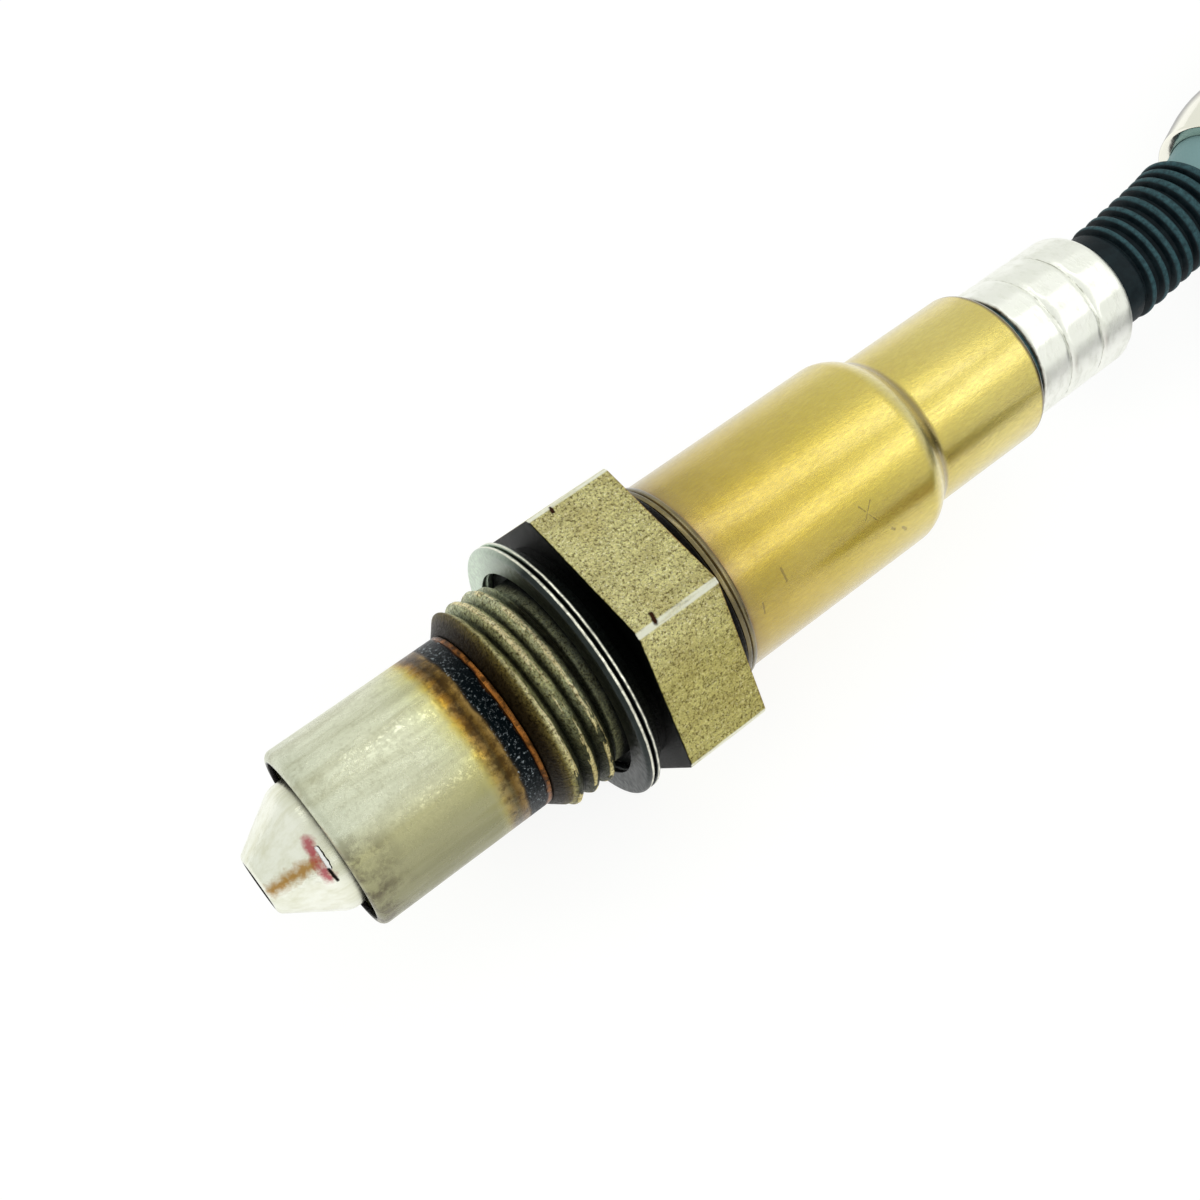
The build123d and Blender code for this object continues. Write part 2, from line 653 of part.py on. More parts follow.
with BuildPart() as ribbed_boot:
    with BuildSketch(Plane.YZ.offset(boot_root_rear)):
        Circle(BOOT_CUFF_RADIUS)
    sweep(path=boot_way)
    with BuildSketch(Plane.YZ.offset(boot_root_rear)):
        Circle(BOOT_CORE_RADIUS)
    sweep(path=core_way)
    with BuildSketch(Plane.YZ.offset(boot_root_rear)):
        Circle(BOOT_PLAIN_RADIUS)
    sweep(path=neck_way)
    for place in rib_places:
        share = (rib_offset + place) / boot_way.length
        with Locations(Plane(origin=boot_way @ share, z_dir=boot_way % share)):
            Torus(BOOT_CORE_RADIUS, RIB_RADIUS)
    with BuildSketch(Plane.XY):
        Polygon(
            (boot_front, 0),
            (boot_front, BOOT_FLANGE_RADIUS),
            (crimp_front - SEAT_GAP, BOOT_FLANGE_RADIUS),
            (crimp_front - SEAT_GAP, BOOT_ROOT_RADIUS),
            (boot_root_rear, BOOT_ROOT_RADIUS),
            (boot_root_rear, 0),
            align=None,
        )
    revolve(axis=Axis.X)
    with BuildSketch(Plane.YZ.offset(boot_front)):
        Circle(BOOT_ROOT_BORE)
    extrude(amount=grommet_neck_end + FIT_GAP - boot_front, mode=Mode.SUBTRACT)
    with BuildSketch(Plane.YZ.offset(boot_front)):
        Circle(BOOT_BORE)
    extrude(amount=boot_root_rear - boot_front, mode=Mode.SUBTRACT)
    with BuildSketch(Plane.YZ.offset(boot_root_rear)):
        Circle(BOOT_BORE)
    sweep(path=boot_way, mode=Mode.SUBTRACT)

ribbed_boot.part.label = "ribbed_boot"
export_step(ribbed_boot.part, "parts/ribbed_boot.step")

# ---------------------------------------------------------------- wires

for number, (y, row) in enumerate(contact_places, start=1):
    with BuildPart() as lead_wire:
        with BuildLine() as wire_route:
            FilletPolyline(
                (wire_front, 0, 0),
                climb_corner,
                swing_corner,
                cuff_end,
                radius=[climb_radius, swing_radius],
            )
        with BuildSketch(Plane.YZ.offset(wire_front)):
            with Locations((y, row * WIRE_ROW_HEIGHT)):
                Circle(WIRE_RADIUS)
        sweep(path=wire_route.wire())
    lead_wire.part.label = f"lead_wire_{number}"
    export_step(lead_wire.part, f"parts/lead_wire_{number}.step")

# ---------------------------------------------------------------- ferrule

ferrule_side = swing_way.cross(Vector(0, 0, 1)).normalized()
ferrule_plane = Plane(origin=ferrule_front, x_dir=swing_way, z_dir=ferrule_side)
cuff_bore = BOOT_CUFF_RADIUS + FIT_GAP
lead_bore = LEAD_RADIUS + LEAD_CLEARANCE
ferrule_step = FERRULE_CUFF_DEPTH + FIT_GAP

with BuildPart() as hose_ferrule:
    with BuildSketch(ferrule_plane):
        with BuildLine():
            FilletPolyline(
                (0, cuff_bore),
                (0, FERRULE_RADIUS),
                (FERRULE_LENGTH * 0.6, FERRULE_RADIUS),
                (FERRULE_LENGTH, FERRULE_REAR_RADIUS),
                (FERRULE_LENGTH, lead_bore),
                (ferrule_step, lead_bore),
                (ferrule_step, cuff_bore),
                radius=[0.2, FERRULE_EDGE, 2.0, FERRULE_EDGE, 0, 0, 0],
                close=True,
            )
        make_face()
    revolve(axis=Axis(ferrule_front, swing_way))

hose_ferrule.part.label = "hose_ferrule"
export_step(hose_ferrule.part, "parts/hose_ferrule.step")

# ---------------------------------------------------------------- lead

# From the ferrule the lead settles level in three short runs and joins the coil's top layer.
coil_floor = floor
bottom_layer = coil_floor + COIL_LAYER * 0.5
top_layer = coil_floor + COIL_LAYER * (COIL_LAYERS - 0.5)
coil_top = coil_floor + COIL_LAYER * COIL_LAYERS
lead_run = 8.4
join_heading = boot_swing - 3.0
middle_heading = (boot_swing + join_heading) / 2

lead_bend_1 = lead_start + swing_way * lead_run
lead_bend_2 = Vector(
    lead_bend_1.X + lead_run * cos(radians(middle_heading)),
    lead_bend_1.Y + lead_run * sin(radians(middle_heading)),
    top_layer,
)
coil_join = Vector(
    lead_bend_2.X + lead_run * cos(radians(join_heading)),
    lead_bend_2.Y + lead_run * sin(radians(join_heading)),
    top_layer,
)

coil_start = 90.0 + join_heading
coil_middle = Vector(
    coil_join.X - COIL_RADIUS * cos(radians(coil_start)),
    coil_join.Y - COIL_RADIUS * sin(radians(coil_start)),
    0,
)
tail_start_degrees = -90.0
tie_degrees = -35.0


def bend_radius(before, corner, after):
    """The largest arc that uses 0.45 of the shorter run on each side of a corner."""
    run_in = corner - before
    run_out = after - corner
    half_turn = run_in.get_angle(run_out) / 2
    return 0.45 * min(run_in.length, run_out.length) / tan(radians(half_turn))


upper_points = [lead_start, lead_bend_1, lead_bend_2, coil_join]
upper_radii = [bend_radius(*upper_points[i - 1:i + 2]) for i in range(1, len(upper_points) - 1)]
print("lead_upper bend radii", [round(value, 1) for value in upper_radii])

with BuildPart() as lead_upper:
    with BuildLine() as upper_route:
        FilletPolyline(*upper_points, radius=upper_radii)
    with BuildSketch(Plane(origin=lead_start, z_dir=swing_way)):
        Circle(LEAD_RADIUS)
    sweep(path=upper_route.wire())

lead_upper.part.label = "lead_upper"
export_step(lead_upper.part, "parts/lead_upper.step")

# The coil is three layers. The lead comes in at the end of the top layer and leaves from the
# end of the bottom one, so each of these stops where the lead meets it.
coil_axis = Axis(coil_middle, (0, 0, 1))


def coil_plane(degrees):
    """The upright plane through the coil's middle, with its x pointing out at this angle."""
    heading = radians(degrees)
    return Plane(
        origin=coil_middle,
        x_dir=(cos(heading), sin(heading), 0),
        z_dir=(sin(heading), -cos(heading), 0),
    )


tie_turn = degrees(TIE_WIDTH / COIL_RADIUS)
tie_inner = COIL_RADIUS - LEAD_RADIUS - FIT_GAP
tie_outer = COIL_RADIUS + LEAD_RADIUS + FIT_GAP
tie_groove = TIE_THICKNESS + FIT_GAP
groove_turn = tie_turn + 0.4

with BuildPart() as lead_coil:
    with BuildSketch(coil_plane(tail_start_degrees)):
        with Locations((COIL_RADIUS, bottom_layer)):
            Rectangle(2 * LEAD_RADIUS, COIL_LAYER)
    revolve(axis=coil_axis, revolution_arc=360 - COIL_OPEN_DEGREES)
    with BuildSketch(Plane.XY.offset(coil_floor + COIL_LAYER)):
        with Locations((coil_middle.X, coil_middle.Y)):
            Circle(COIL_RADIUS + LEAD_RADIUS)
            Circle(COIL_RADIUS - LEAD_RADIUS, mode=Mode.SUBTRACT)
    extrude(amount=COIL_LAYER * (COIL_LAYERS - 2))
    with BuildSketch(coil_plane(tail_start_degrees)):
        with Locations((COIL_RADIUS, top_layer)):
            Rectangle(2 * LEAD_RADIUS, COIL_LAYER)
    revolve(axis=coil_axis, revolution_arc=coil_start - tail_start_degrees)
    with BuildSketch(coil_plane(tie_degrees - groove_turn / 2)):
        with Locations((COIL_RADIUS, coil_floor + tie_groove / 2)):
            Rectangle(4 * LEAD_RADIUS, tie_groove)
    revolve(axis=coil_axis, revolution_arc=groove_turn, mode=Mode.SUBTRACT)

lead_coil.part.label = "lead_coil"
export_step(lead_coil.part, "parts/lead_coil.step")

tie_middle = (tie_inner + tie_outer) / 2
tie_top = coil_top + FIT_GAP + TIE_THICKNESS

with BuildPart() as coil_tie:
    with BuildSketch(coil_plane(tie_degrees - tie_turn / 2)):
        with Locations((tie_middle, (coil_floor + tie_top) / 2)):
            Rectangle(tie_outer - tie_inner + 2 * TIE_THICKNESS, tie_top - coil_floor)
        with Locations((tie_middle, (coil_floor + TIE_THICKNESS + coil_top + FIT_GAP) / 2)):
            Rectangle(
                tie_outer - tie_inner,
                coil_top + FIT_GAP - coil_floor - TIE_THICKNESS,
                mode=Mode.SUBTRACT,
            )
    revolve(axis=coil_axis, revolution_arc=tie_turn)
    with BuildSketch(coil_plane(tie_degrees)):
        with Locations((tie_outer + TIE_THICKNESS / 2 + TIE_HEAD_DEPTH / 2, 0)):
            Rectangle(TIE_HEAD_DEPTH, TIE_HEAD_HEIGHT)
    extrude(amount=TIE_HEAD_WIDTH / 2, both=True)
    with BuildSketch(coil_plane(tie_degrees)):
        with Locations((tie_outer + TIE_THICKNESS + 1.2, (TIE_HEAD_HEIGHT + TIE_END_LENGTH) / 2)):
            Rectangle(TIE_THICKNESS, TIE_END_LENGTH)
    extrude(amount=TIE_WIDTH / 2, both=True)

coil_tie.part.label = "coil_tie"
export_step(coil_tie.part, "parts/coil_tie.step")

# The tail leaves the bottom layer along -X, clears the coil and rises to the connector.
plug_height = coil_floor + PLUG_HEIGHT / 2
tail_rise = plug_height - bottom_layer
tail_start = Vector(coil_middle.X, coil_middle.Y - COIL_RADIUS, bottom_layer)
tail_points = [
    tail_start,
    tail_start + Vector(-9.0, 0, 0),
    tail_start + Vector(-18.5, -0.5, 0),
    tail_start + Vector(-28.5, -1.0, tail_rise),
    tail_start + Vector(-38.1, -1.0, tail_rise),
]
tail_radii = [bend_radius(*tail_points[i - 1:i + 2]) for i in range(1, len(tail_points) - 1)]
print("lead_tail bend radii", [round(value, 1) for value in tail_radii])

with BuildPart() as lead_tail:
    with BuildLine() as tail_route:
        FilletPolyline(*tail_points, radius=tail_radii)
    with BuildSketch(Plane(origin=tail_start, z_dir=(-1, 0, 0))):
        Circle(LEAD_RADIUS)
    sweep(path=tail_route.wire())

lead_tail.part.label = "lead_tail"
export_step(lead_tail.part, "parts/lead_tail.step")

# ---------------------------------------------------------------- connector

plug_rear = tail_points[-1].X - LEAD_CLEARANCE
plug_across = tail_points[-1].Y
plug_front = plug_rear - PLUG_LENGTH
snout_front = plug_front - SNOUT_LENGTH
snout_width = PLUG_WIDTH - 2 * SNOUT_INSET
snout_height = PLUG_HEIGHT - 2 * SNOUT_INSET
seal_rear = plug_front - FIT_GAP
port_places = [
    (
        plug_across + (column - (PORT_COLUMNS - 1) / 2) * PORT_PITCH_ACROSS,
        plug_height + (row - (PORT_ROWS - 1) / 2) * PORT_PITCH_UP,
    )
    for row in range(PORT_ROWS)
    for column in range(PORT_COLUMNS)
]

with BuildPart() as plug_housing:
    with BuildSketch(Plane.YZ.offset(plug_front)):
        with Locations((plug_across, plug_height)):
            RectangleRounded(PLUG_WIDTH, PLUG_HEIGHT, PLUG_EDGE)
    extrude(amount=PLUG_LENGTH)
    rear_face = plug_housing.faces().sort_by(Axis.X)[-1]
    chamfer(rear_face.edges(), length=0.8)
    with BuildSketch(Plane.YZ.offset(snout_front)):
        with Locations((plug_across, plug_height)):
            RectangleRounded(snout_width, snout_height, SNOUT_EDGE)
    extrude(amount=SNOUT_LENGTH)
    with BuildSketch(Plane.YZ.offset(snout_front)):
        with Locations(port_places):
            Rectangle(PORT_WIDTH, PORT_HEIGHT)
    extrude(amount=PORT_DEPTH, mode=Mode.SUBTRACT)

plug_housing.part.label = "plug_housing"
export_step(plug_housing.part, "parts/plug_housing.step")

with BuildPart() as plug_seal:
    with BuildSketch(Plane.YZ.offset(seal_rear - SEAL_LENGTH)):
        with Locations((plug_across, plug_height)):
            RectangleRounded(snout_width + 2 * SEAL_THICKNESS, snout_height + 2 * SEAL_THICKNESS, 1.5)
            RectangleRounded(
                snout_width + 2 * FIT_GAP,
                snout_height + 2 * FIT_GAP,
                SNOUT_EDGE,
                mode=Mode.SUBTRACT,
            )
    extrude(amount=SEAL_LENGTH)
    with BuildSketch(Plane.YZ.offset(seal_rear - SEAL_LENGTH * 0.65)):
        with Locations((plug_across, plug_height)):
            RectangleRounded(snout_width + 3 * SEAL_THICKNESS, snout_height + 3 * SEAL_THICKNESS, 2.0)
            RectangleRounded(
                snout_width + 2 * (SEAL_THICKNESS - SEAL_GROOVE),
                snout_height + 2 * (SEAL_THICKNESS - SEAL_GROOVE),
                1.2,
                mode=Mode.SUBTRACT,
            )
    extrude(amount=SEAL_LENGTH * 0.3, mode=Mode.SUBTRACT)

plug_seal.part.label = "plug_seal"
export_step(plug_seal.part, "parts/plug_seal.step")

for number, (across, up) in enumerate(port_places, start=1):
    with BuildPart() as plug_terminal:
        with BuildSketch(Plane.YZ.offset(snout_front + 1.0)):
            with Locations((across, up)):
                Rectangle(TERMINAL_WIDTH, TERMINAL_HEIGHT)
                Rectangle(TERMINAL_SLOT * 1.4, TERMINAL_SLOT, mode=Mode.SUBTRACT)
        extrude(amount=PORT_DEPTH - 1.0 - SEAT_GAP)
    plug_terminal.part.label = f"plug_terminal_{number}"
    export_step(plug_terminal.part, f"parts/plug_terminal_{number}.step")

# The latch is a sprung arm on top of the housing, with its foot at the rear.
latch_foot_rear = plug_rear - 1.6
latch_front = latch_foot_rear - LATCH_LENGTH
latch_seat = coil_floor + PLUG_HEIGHT + SEAT_GAP

with BuildPart() as plug_latch:
    with BuildSketch(Plane.XZ.offset(-plug_across)):
        with BuildLine():
            FilletPolyline(
                (latch_foot_rear, latch_seat),
                (latch_foot_rear, latch_seat + LATCH_LIFT + LATCH_THICKNESS),
                (latch_front, latch_seat + LATCH_LIFT + LATCH_THICKNESS),
                (latch_front, latch_seat + 0.5),
                (latch_front + 1.6, latch_seat + LATCH_LIFT),
                (latch_foot_rear - LATCH_FOOT, latch_seat + LATCH_LIFT),
                (latch_foot_rear - LATCH_FOOT, latch_seat),
                radius=[0, 0.6, 0.4, 0, 0, 0.5, 0],
                close=True,
            )
        make_face()
    extrude(amount=LATCH_WIDTH / 2, both=True)

plug_latch.part.label = "plug_latch"
export_step(plug_latch.part, "parts/plug_latch.step")

with BuildPart() as plug_guard:
    with BuildSketch(Plane.YZ.offset(plug_rear + SEAT_GAP)):
        with Locations((plug_across, plug_height)):
            Circle(PLUG_GUARD_RADIUS)
    with BuildSketch(Plane.YZ.offset(plug_rear + SEAT_GAP + PLUG_GUARD_LENGTH)):
        with Locations((plug_across, plug_height)):
            Circle(LEAD_RADIUS + 0.7)
    loft()
    with BuildSketch(Plane.YZ.offset(plug_rear + SEAT_GAP)):
        with Locations((plug_across, plug_height)):
            Circle(lead_bore)
    extrude(amount=PLUG_GUARD_LENGTH, mode=Mode.SUBTRACT)

plug_guard.part.label = "plug_guard"
export_step(plug_guard.part, "parts/plug_guard.step")
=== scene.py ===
"""Exhaust oxygen sensor: its turned and welded steel body, ribbed boot, lead and connector."""

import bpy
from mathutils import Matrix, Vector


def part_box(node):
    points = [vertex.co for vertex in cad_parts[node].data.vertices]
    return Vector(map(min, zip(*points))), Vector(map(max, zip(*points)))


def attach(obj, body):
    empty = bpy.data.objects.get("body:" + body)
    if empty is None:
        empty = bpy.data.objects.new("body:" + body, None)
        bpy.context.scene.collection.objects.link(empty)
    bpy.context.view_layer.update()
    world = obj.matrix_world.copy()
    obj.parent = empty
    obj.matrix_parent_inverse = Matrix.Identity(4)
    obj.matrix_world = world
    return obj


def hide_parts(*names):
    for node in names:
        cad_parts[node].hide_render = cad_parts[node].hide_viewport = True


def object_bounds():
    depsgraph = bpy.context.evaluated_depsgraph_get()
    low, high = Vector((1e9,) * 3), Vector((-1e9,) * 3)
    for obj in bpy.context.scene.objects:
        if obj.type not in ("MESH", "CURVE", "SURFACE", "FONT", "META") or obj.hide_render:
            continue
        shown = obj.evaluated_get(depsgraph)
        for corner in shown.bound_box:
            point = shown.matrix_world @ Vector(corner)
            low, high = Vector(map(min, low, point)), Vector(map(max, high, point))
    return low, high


bl_info = {
    "name": "Exhaust oxygen sensor",
    "version": (1, 0, 0),
    "blender": (4, 5, 0),
    "location": "View3D > Sidebar > Sensor",
    "description": "Builds the sensor's visible pieces, their finishes and a plain studio",
    "category": "Object",
}

from math import atan2, cos, hypot, pi, radians, sin, tau

import bmesh
import bpy
from bpy.props import FloatProperty, FloatVectorProperty, IntProperty, PointerProperty
from mathutils import Euler, Matrix, Vector, noise

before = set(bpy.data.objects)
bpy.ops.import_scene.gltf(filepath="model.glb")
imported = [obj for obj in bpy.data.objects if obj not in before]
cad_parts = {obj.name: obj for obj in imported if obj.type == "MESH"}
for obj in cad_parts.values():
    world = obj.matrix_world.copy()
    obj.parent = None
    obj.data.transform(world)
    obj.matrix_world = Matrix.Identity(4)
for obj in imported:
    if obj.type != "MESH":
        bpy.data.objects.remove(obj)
CAD_BOX = [list(corner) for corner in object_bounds()]
MM = 0.001
THREAD_RADIUS = 9.0


def span(node, axis):
    """The lowest and highest place of a CAD node along one axis, in millimetres."""
    low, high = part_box(node)
    return low[axis] / MM, high[axis] / MM


def linear(hex_colour):
    """An sRGB hex colour as the linear RGBA that the shaders take."""
    values = [int(hex_colour[i:i + 2], 16) / 255 for i in (1, 3, 5)]
    return [v / 12.92 if v <= 0.04045 else ((v + 0.055) / 1.055) ** 2.4 for v in values] + [1.0]


# ------------------------------------------------------------------ sizes and colours


class SensorSizes(bpy.types.PropertyGroup):
    """Sizes of the visible pieces that the CAD solids leave plain."""

    thread_pitch: FloatProperty(
        name="Thread pitch", description="Distance from one crest to the next",
        default=1.5 * MM, min=0.5 * MM, max=3 * MM, unit="LENGTH", precision=5)
    thread_depth: FloatProperty(
        name="Thread depth", description="Height of the thread from root to crest",
        default=0.86 * MM, min=0.2 * MM, max=2 * MM, unit="LENGTH", precision=5)
    corner_strip: FloatProperty(
        name="Corner strip", description="Width of the turned strip on each corner of the hexagon",
        default=0.43 * MM, min=0.05 * MM, max=2 * MM, unit="LENGTH", precision=5)
    rib_count: IntProperty(
        name="Boot ribs", description="Number of ribs round the rubber boot", default=8, min=1, max=20)
    lead_diameter: FloatProperty(
        name="Lead diameter", description="Outer diameter of the sheathed lead",
        default=6.0 * MM, min=3 * MM, max=10 * MM, unit="LENGTH", precision=5)
    coil_radius: FloatProperty(
        name="Coil radius", description="Radius of the put-away lead at the middle of its turns",
        default=31.0 * MM, min=20 * MM, max=60 * MM, unit="LENGTH", precision=5)
    steps: IntProperty(
        name="Steps round", description="Facets round a turned piece", default=224, min=32, max=512)


class SensorColours(bpy.types.PropertyGroup):
    """Base colours of the finishes."""

    sleeve_gold: FloatVectorProperty(
        name="Sleeve gold", description="Gold heat tint of the protection sleeve",
        subtype="COLOR", size=4, default=linear("#D9BE5A"))
    boot_black: FloatVectorProperty(
        name="Boot rubber", description="Blue-black rubber of the boot",
        subtype="COLOR", size=4, default=linear("#06141A"))
    lead_grey: FloatVectorProperty(
        name="Lead sheath", description="Sheath of the lead",
        subtype="COLOR", size=4, default=linear("#33393D"))


class StudioSettings(bpy.types.PropertyGroup):
    """Camera, lamps and floor."""

    lens: FloatProperty(
        name="Lens", description="Focal length on a 36 mm wide sensor", default=45.206, min=20, max=200)
    lamp_power: FloatProperty(
        name="Lamp power", description="Power of the overhead soft light", default=0.11, min=0,
        subtype="POWER", unit="POWER")
    room_level: FloatProperty(
        name="Room level", description="Strength of the even light of the room", default=0.82, min=0)


# ------------------------------------------------------------------ shader helpers


def join(tree, socket, value):
    """Sets an input to a value, or links it to a socket of another node."""
    if isinstance(value, bpy.types.NodeSocket):
        tree.links.new(value, socket)
    else:
        socket.default_value = value


def put(tree, kind, *values, out=None, **settings):
    """Adds one node with its settings, and gives the named output, or the first in use.

    The values, or sockets of other nodes, go to the inputs in use, in order. None leaves one alone.
    """
    node = tree.nodes.new("ShaderNode" + kind)
    for key, value in settings.items():
        setattr(node, key, value)
    for socket, value in zip([s for s in node.inputs if s.enabled], values):
        if value is not None:
            join(tree, socket, value)
    return node.outputs[out] if out else next((s for s in node.outputs if s.enabled), None)


def begin(name):
    """A new material with its shader, and the object's own coordinates in metres."""
    material = bpy.data.materials.new(name)
    material.use_nodes = True
    tree = material.node_tree
    return material, tree, tree.nodes["Principled BSDF"], put(tree, "TexCoord", out="Object")


def wire_up(tree, shader, **sockets):
    """Joins values or sockets to the shader's inputs, with _ for each space in their names."""
    for key, value in sockets.items():
        join(tree, shader.inputs[key.replace("_", " ")], value)


def grain(tree, place, size, detail=3.0, rough=0.6, stretch=(1, 1, 1)):
    """Noise whose lumps are this many millimetres across, longer along an axis where stretched."""
    scale = [1 / (size * MM * s) for s in stretch]
    turned = put(tree, "Mapping", place, None, None, scale)
    return put(tree, "TexNoise", turned, 1.0, detail, rough)


def along(tree, place, stops, wander=0.0, patch=2.0):
    """Colours at places along the sensor's axis, in mm. Their borders wander by this many mm."""
    x = put(tree, "Math", put(tree, "SeparateXYZ", place), 1 / MM, operation="MULTIPLY")
    if wander:
        swing = put(tree, "MapRange", grain(tree, place, patch, 2.0), 0.25, 0.75, -wander, wander)
        x = put(tree, "Math", x, swing, operation="ADD")
    first, last = stops[0][0], stops[-1][0]
    ramp = put(tree, "ValToRGB", put(tree, "MapRange", x, first, last))
    spots = ramp.node.color_ramp.elements
    while len(spots) < len(stops):
        spots.new(1.0)
    for spot, (where, colour) in zip(spots, stops):
        spot.position = (where - first) / (last - first)
    for spot, (where, colour) in zip(spots, stops):
        spot.color = linear(colour)
    return ramp


def coat(tree, colour, *coats):
    """Lays coats on a colour, one on another.

    Each is where it lies, from 0 to 1, how strongly, its colour and, unless it covers, how it mixes.
    """
    for where, strength, tone, *mode in coats:
        share = put(tree, "Math", where, strength, operation="MULTIPLY")
        tone = linear(tone) if isinstance(tone, str) else tone
        colour = put(tree, "Mix", share, colour, tone, data_type="RGBA",
                     blend_type=mode[0] if mode else "MIX")
    return colour


def relief(tree, shader, *layers):
    """Bumps on bumps: each layer is a height from 0 to 1 and its depth in millimetres."""
    normal = None
    for height, depth in layers:
        normal = put(tree, "Bump", 1.0, depth * MM, None, height, normal)
    wire_up(tree, shader, Normal=normal)


def mark(tree, place, start, end, width, soft=0.5):
    """A ragged mark between two places in mm: 1 along its middle, and 0 past its width."""
    way = Vector(end) - Vector(start)
    width *= MM
    away = put(tree, "VectorMath", place, Vector(start) * MM, operation="SUBTRACT")
    share = put(tree, "VectorMath", away, way.normalized(), operation="DOT_PRODUCT")
    share = put(tree, "MapRange", share, 0, way.length * MM)
    near = put(tree, "VectorMath", way * MM, share, operation="SCALE")
    off = put(tree, "VectorMath", away, near, operation="DISTANCE")
    rag = put(tree, "MapRange", grain(tree, place, 0.5, 4.0), 0.3, 0.7, -0.3 * width, 0.3 * width)
    return put(tree, "MapRange", put(tree, "Math", off, rag, operation="ADD"), width, width * (1 - soft))


def from_axis(tree, place, low, high):
    """0 at the first distance from the sensor's axis, in mm, and 1 at the second."""
    flat = put(tree, "VectorMath", place, (0, 1, 1), operation="MULTIPLY")
    return put(tree, "MapRange", put(tree, "VectorMath", flat, operation="LENGTH"), low * MM, high * MM)


# ------------------------------------------------------------------ finishes


def blasted_shell_steel():
    """Stainless steel. The blasted hexagon has painted sparkle; the thread has painted shade, light and
    glints.
    """
    material, tree, shader, place = begin("blasted_shell_steel")
    # Colours along the axis. The pale stop at -1.62 mm is a painted highlight on the rim where the lead-in
    # meets the thread, and from 3.4 to 6.2 mm the undercut, boss, neck and front face of the hexagon are
    # painted near-black, as painted shade behind the gasket.
    colour = along(tree, place, [
        (-6.3, "#4A4640"), (-2.95, "#1C1710"), (-2.4, "#2C2416"), (-1.9, "#645A34"), (-1.62, "#CCC8A0"),
        (-1.45, "#A6A67E"), (0.3, "#D8DCB4"), (2.2, "#B8BEA4"), (3.4, "#1D2122"), (5.6, "#0A0D0D"),
        (6.2, "#070909"), (6.26, "#DAD29A"), (13.0, "#D6CE94"), (13.5, "#C4BA84"), (13.56, "#8A5020"),
        (13.8, "#1C1A1C"), (15.1, "#141416"), (19.5, "#3A3836")], wander=0.03, patch=1.2)
    x, y = put(tree, "SeparateXYZ", place, out="X"), put(tree, "SeparateXYZ", place, out="Y")

    # The thread: painted shade in its roots and towards the floor, painted light on its upper side, batter
    # marks, and bright slivers on its crests painted as glints.
    rise = put(tree, "Attribute", attribute_name="rise", out="Fac")
    on_thread = put(tree, "Math", put(tree, "MapRange", x, 2.7 * MM, 2.5 * MM),
                    put(tree, "MapRange", x, -1.75 * MM, -1.5 * MM), operation="MULTIPLY")
    root = put(tree, "MapRange", rise, 0.72, 0.22)
    shade = put(tree, "MapRange", y, -3.0 * MM, -8.3 * MM)
    painted_top_light = put(tree, "MapRange", y, 2.0 * MM, 7.5 * MM, 0.0, 0.7)
    batter = put(tree, "MapRange", grain(tree, place, 0.5, 5.0, 0.8, (0.8, 3, 3)), 0.42, 0.62)
    sliver = put(tree, "MapRange", grain(tree, place, 0.45, 3.0, 0.6, (0.8, 6, 6)), 0.47, 0.51)
    glint = put(tree, "Math", sliver, put(tree, "MapRange", rise, 0.84, 0.93), operation="MULTIPLY")
    for where, strength, tone in ((root, 0.92, "#12120D"), (shade, 0.92, "#1F2723"), (painted_top_light, 1.0, "#CEDCC4"),
                                  (batter, 0.45, "#34362A"), (glint, 1.0, "#FFF2C0")):
        where = put(tree, "Math", where, on_thread, operation="MULTIPLY")
        colour = coat(tree, colour, (where, strength, tone))

    # The hexagon: a blasted grain with faint milling streaks. The real grain is about 0.06 mm, and
    # is drawn three or four times as coarse, so that it shows.
    speck = put(tree, "MapRange", grain(tree, place, 0.17, 5.0, 0.85), 0.46, 0.60)
    dark = put(tree, "MapRange", grain(tree, place, 0.24, 4.0, 0.8), 0.51, 0.59)
    streak = put(tree, "MapRange", grain(tree, place, 0.35, 3.0, 0.6, (8, 1, 1)), 0.42, 0.66)
    stain = put(tree, "MapRange", grain(tree, place, 2.6, 3.0), 0.4, 0.7)
    # Near-white specks on the flats are painted sparkle, standing in for the glints of the blasted grain.
    painted_sparkle = put(tree, "MapRange", grain(tree, place, 0.22, 3.0, 0.7), 0.57, 0.62)
    for start, end, most in ((6.2, 6.3, 0.85), (13.5, 13.45, 1.0)):
        painted_sparkle = put(tree, "Math", painted_sparkle, put(tree, "MapRange", x, start * MM, end * MM, 0.0, most),
                      operation="MULTIPLY")
    # The lower side of the hexagon is painted darker, as painted shade.
    painted_low_side_shade = put(tree, "MapRange", y, -6.0 * MM, -9.0 * MM)
    corner = put(tree, "Math", from_axis(tree, place, 12.52, 12.57),
                 put(tree, "MapRange", streak, 0, 1, 1.0, 0.55), operation="MULTIPLY")
    notch = mark(tree, place, (8.06, -5.5, 11.0), (7.77, -6.8, 11.0), 0.22)
    nick = mark(tree, place, (8.21, 6.31, 11.0), (8.11, 5.7, 11.0), 0.16, 0.4)
    cuts = put(tree, "Math", notch, nick, operation="MAXIMUM")
    colour = coat(
        tree, colour, (speck, 0.8, "#FFFBDC", "OVERLAY"), (dark, 0.8, "#6A5A2C", "MULTIPLY"),
        (painted_sparkle, 1.0, "#FFFBD2"), (streak, 0.3, "#8A7A44", "MULTIPLY"), (stain, 0.3, "#B8A05C", "MULTIPLY"),
        (painted_low_side_shade, 0.7, "#DCD8AC", "MULTIPLY"), (corner, 1.0, "#F8F8E6"), (cuts, 1.0, "#3A2216"))
    wire_up(tree, shader, Base_Color=colour, Metallic=1.0,
            Roughness=put(tree, "MapRange", speck, 0, 1, 0.50, 0.32))
    relief(tree, shader, (grain(tree, place, 0.24, 4.0, 0.75), 0.2), (streak, 0.01), (cuts, -0.2))
    return material


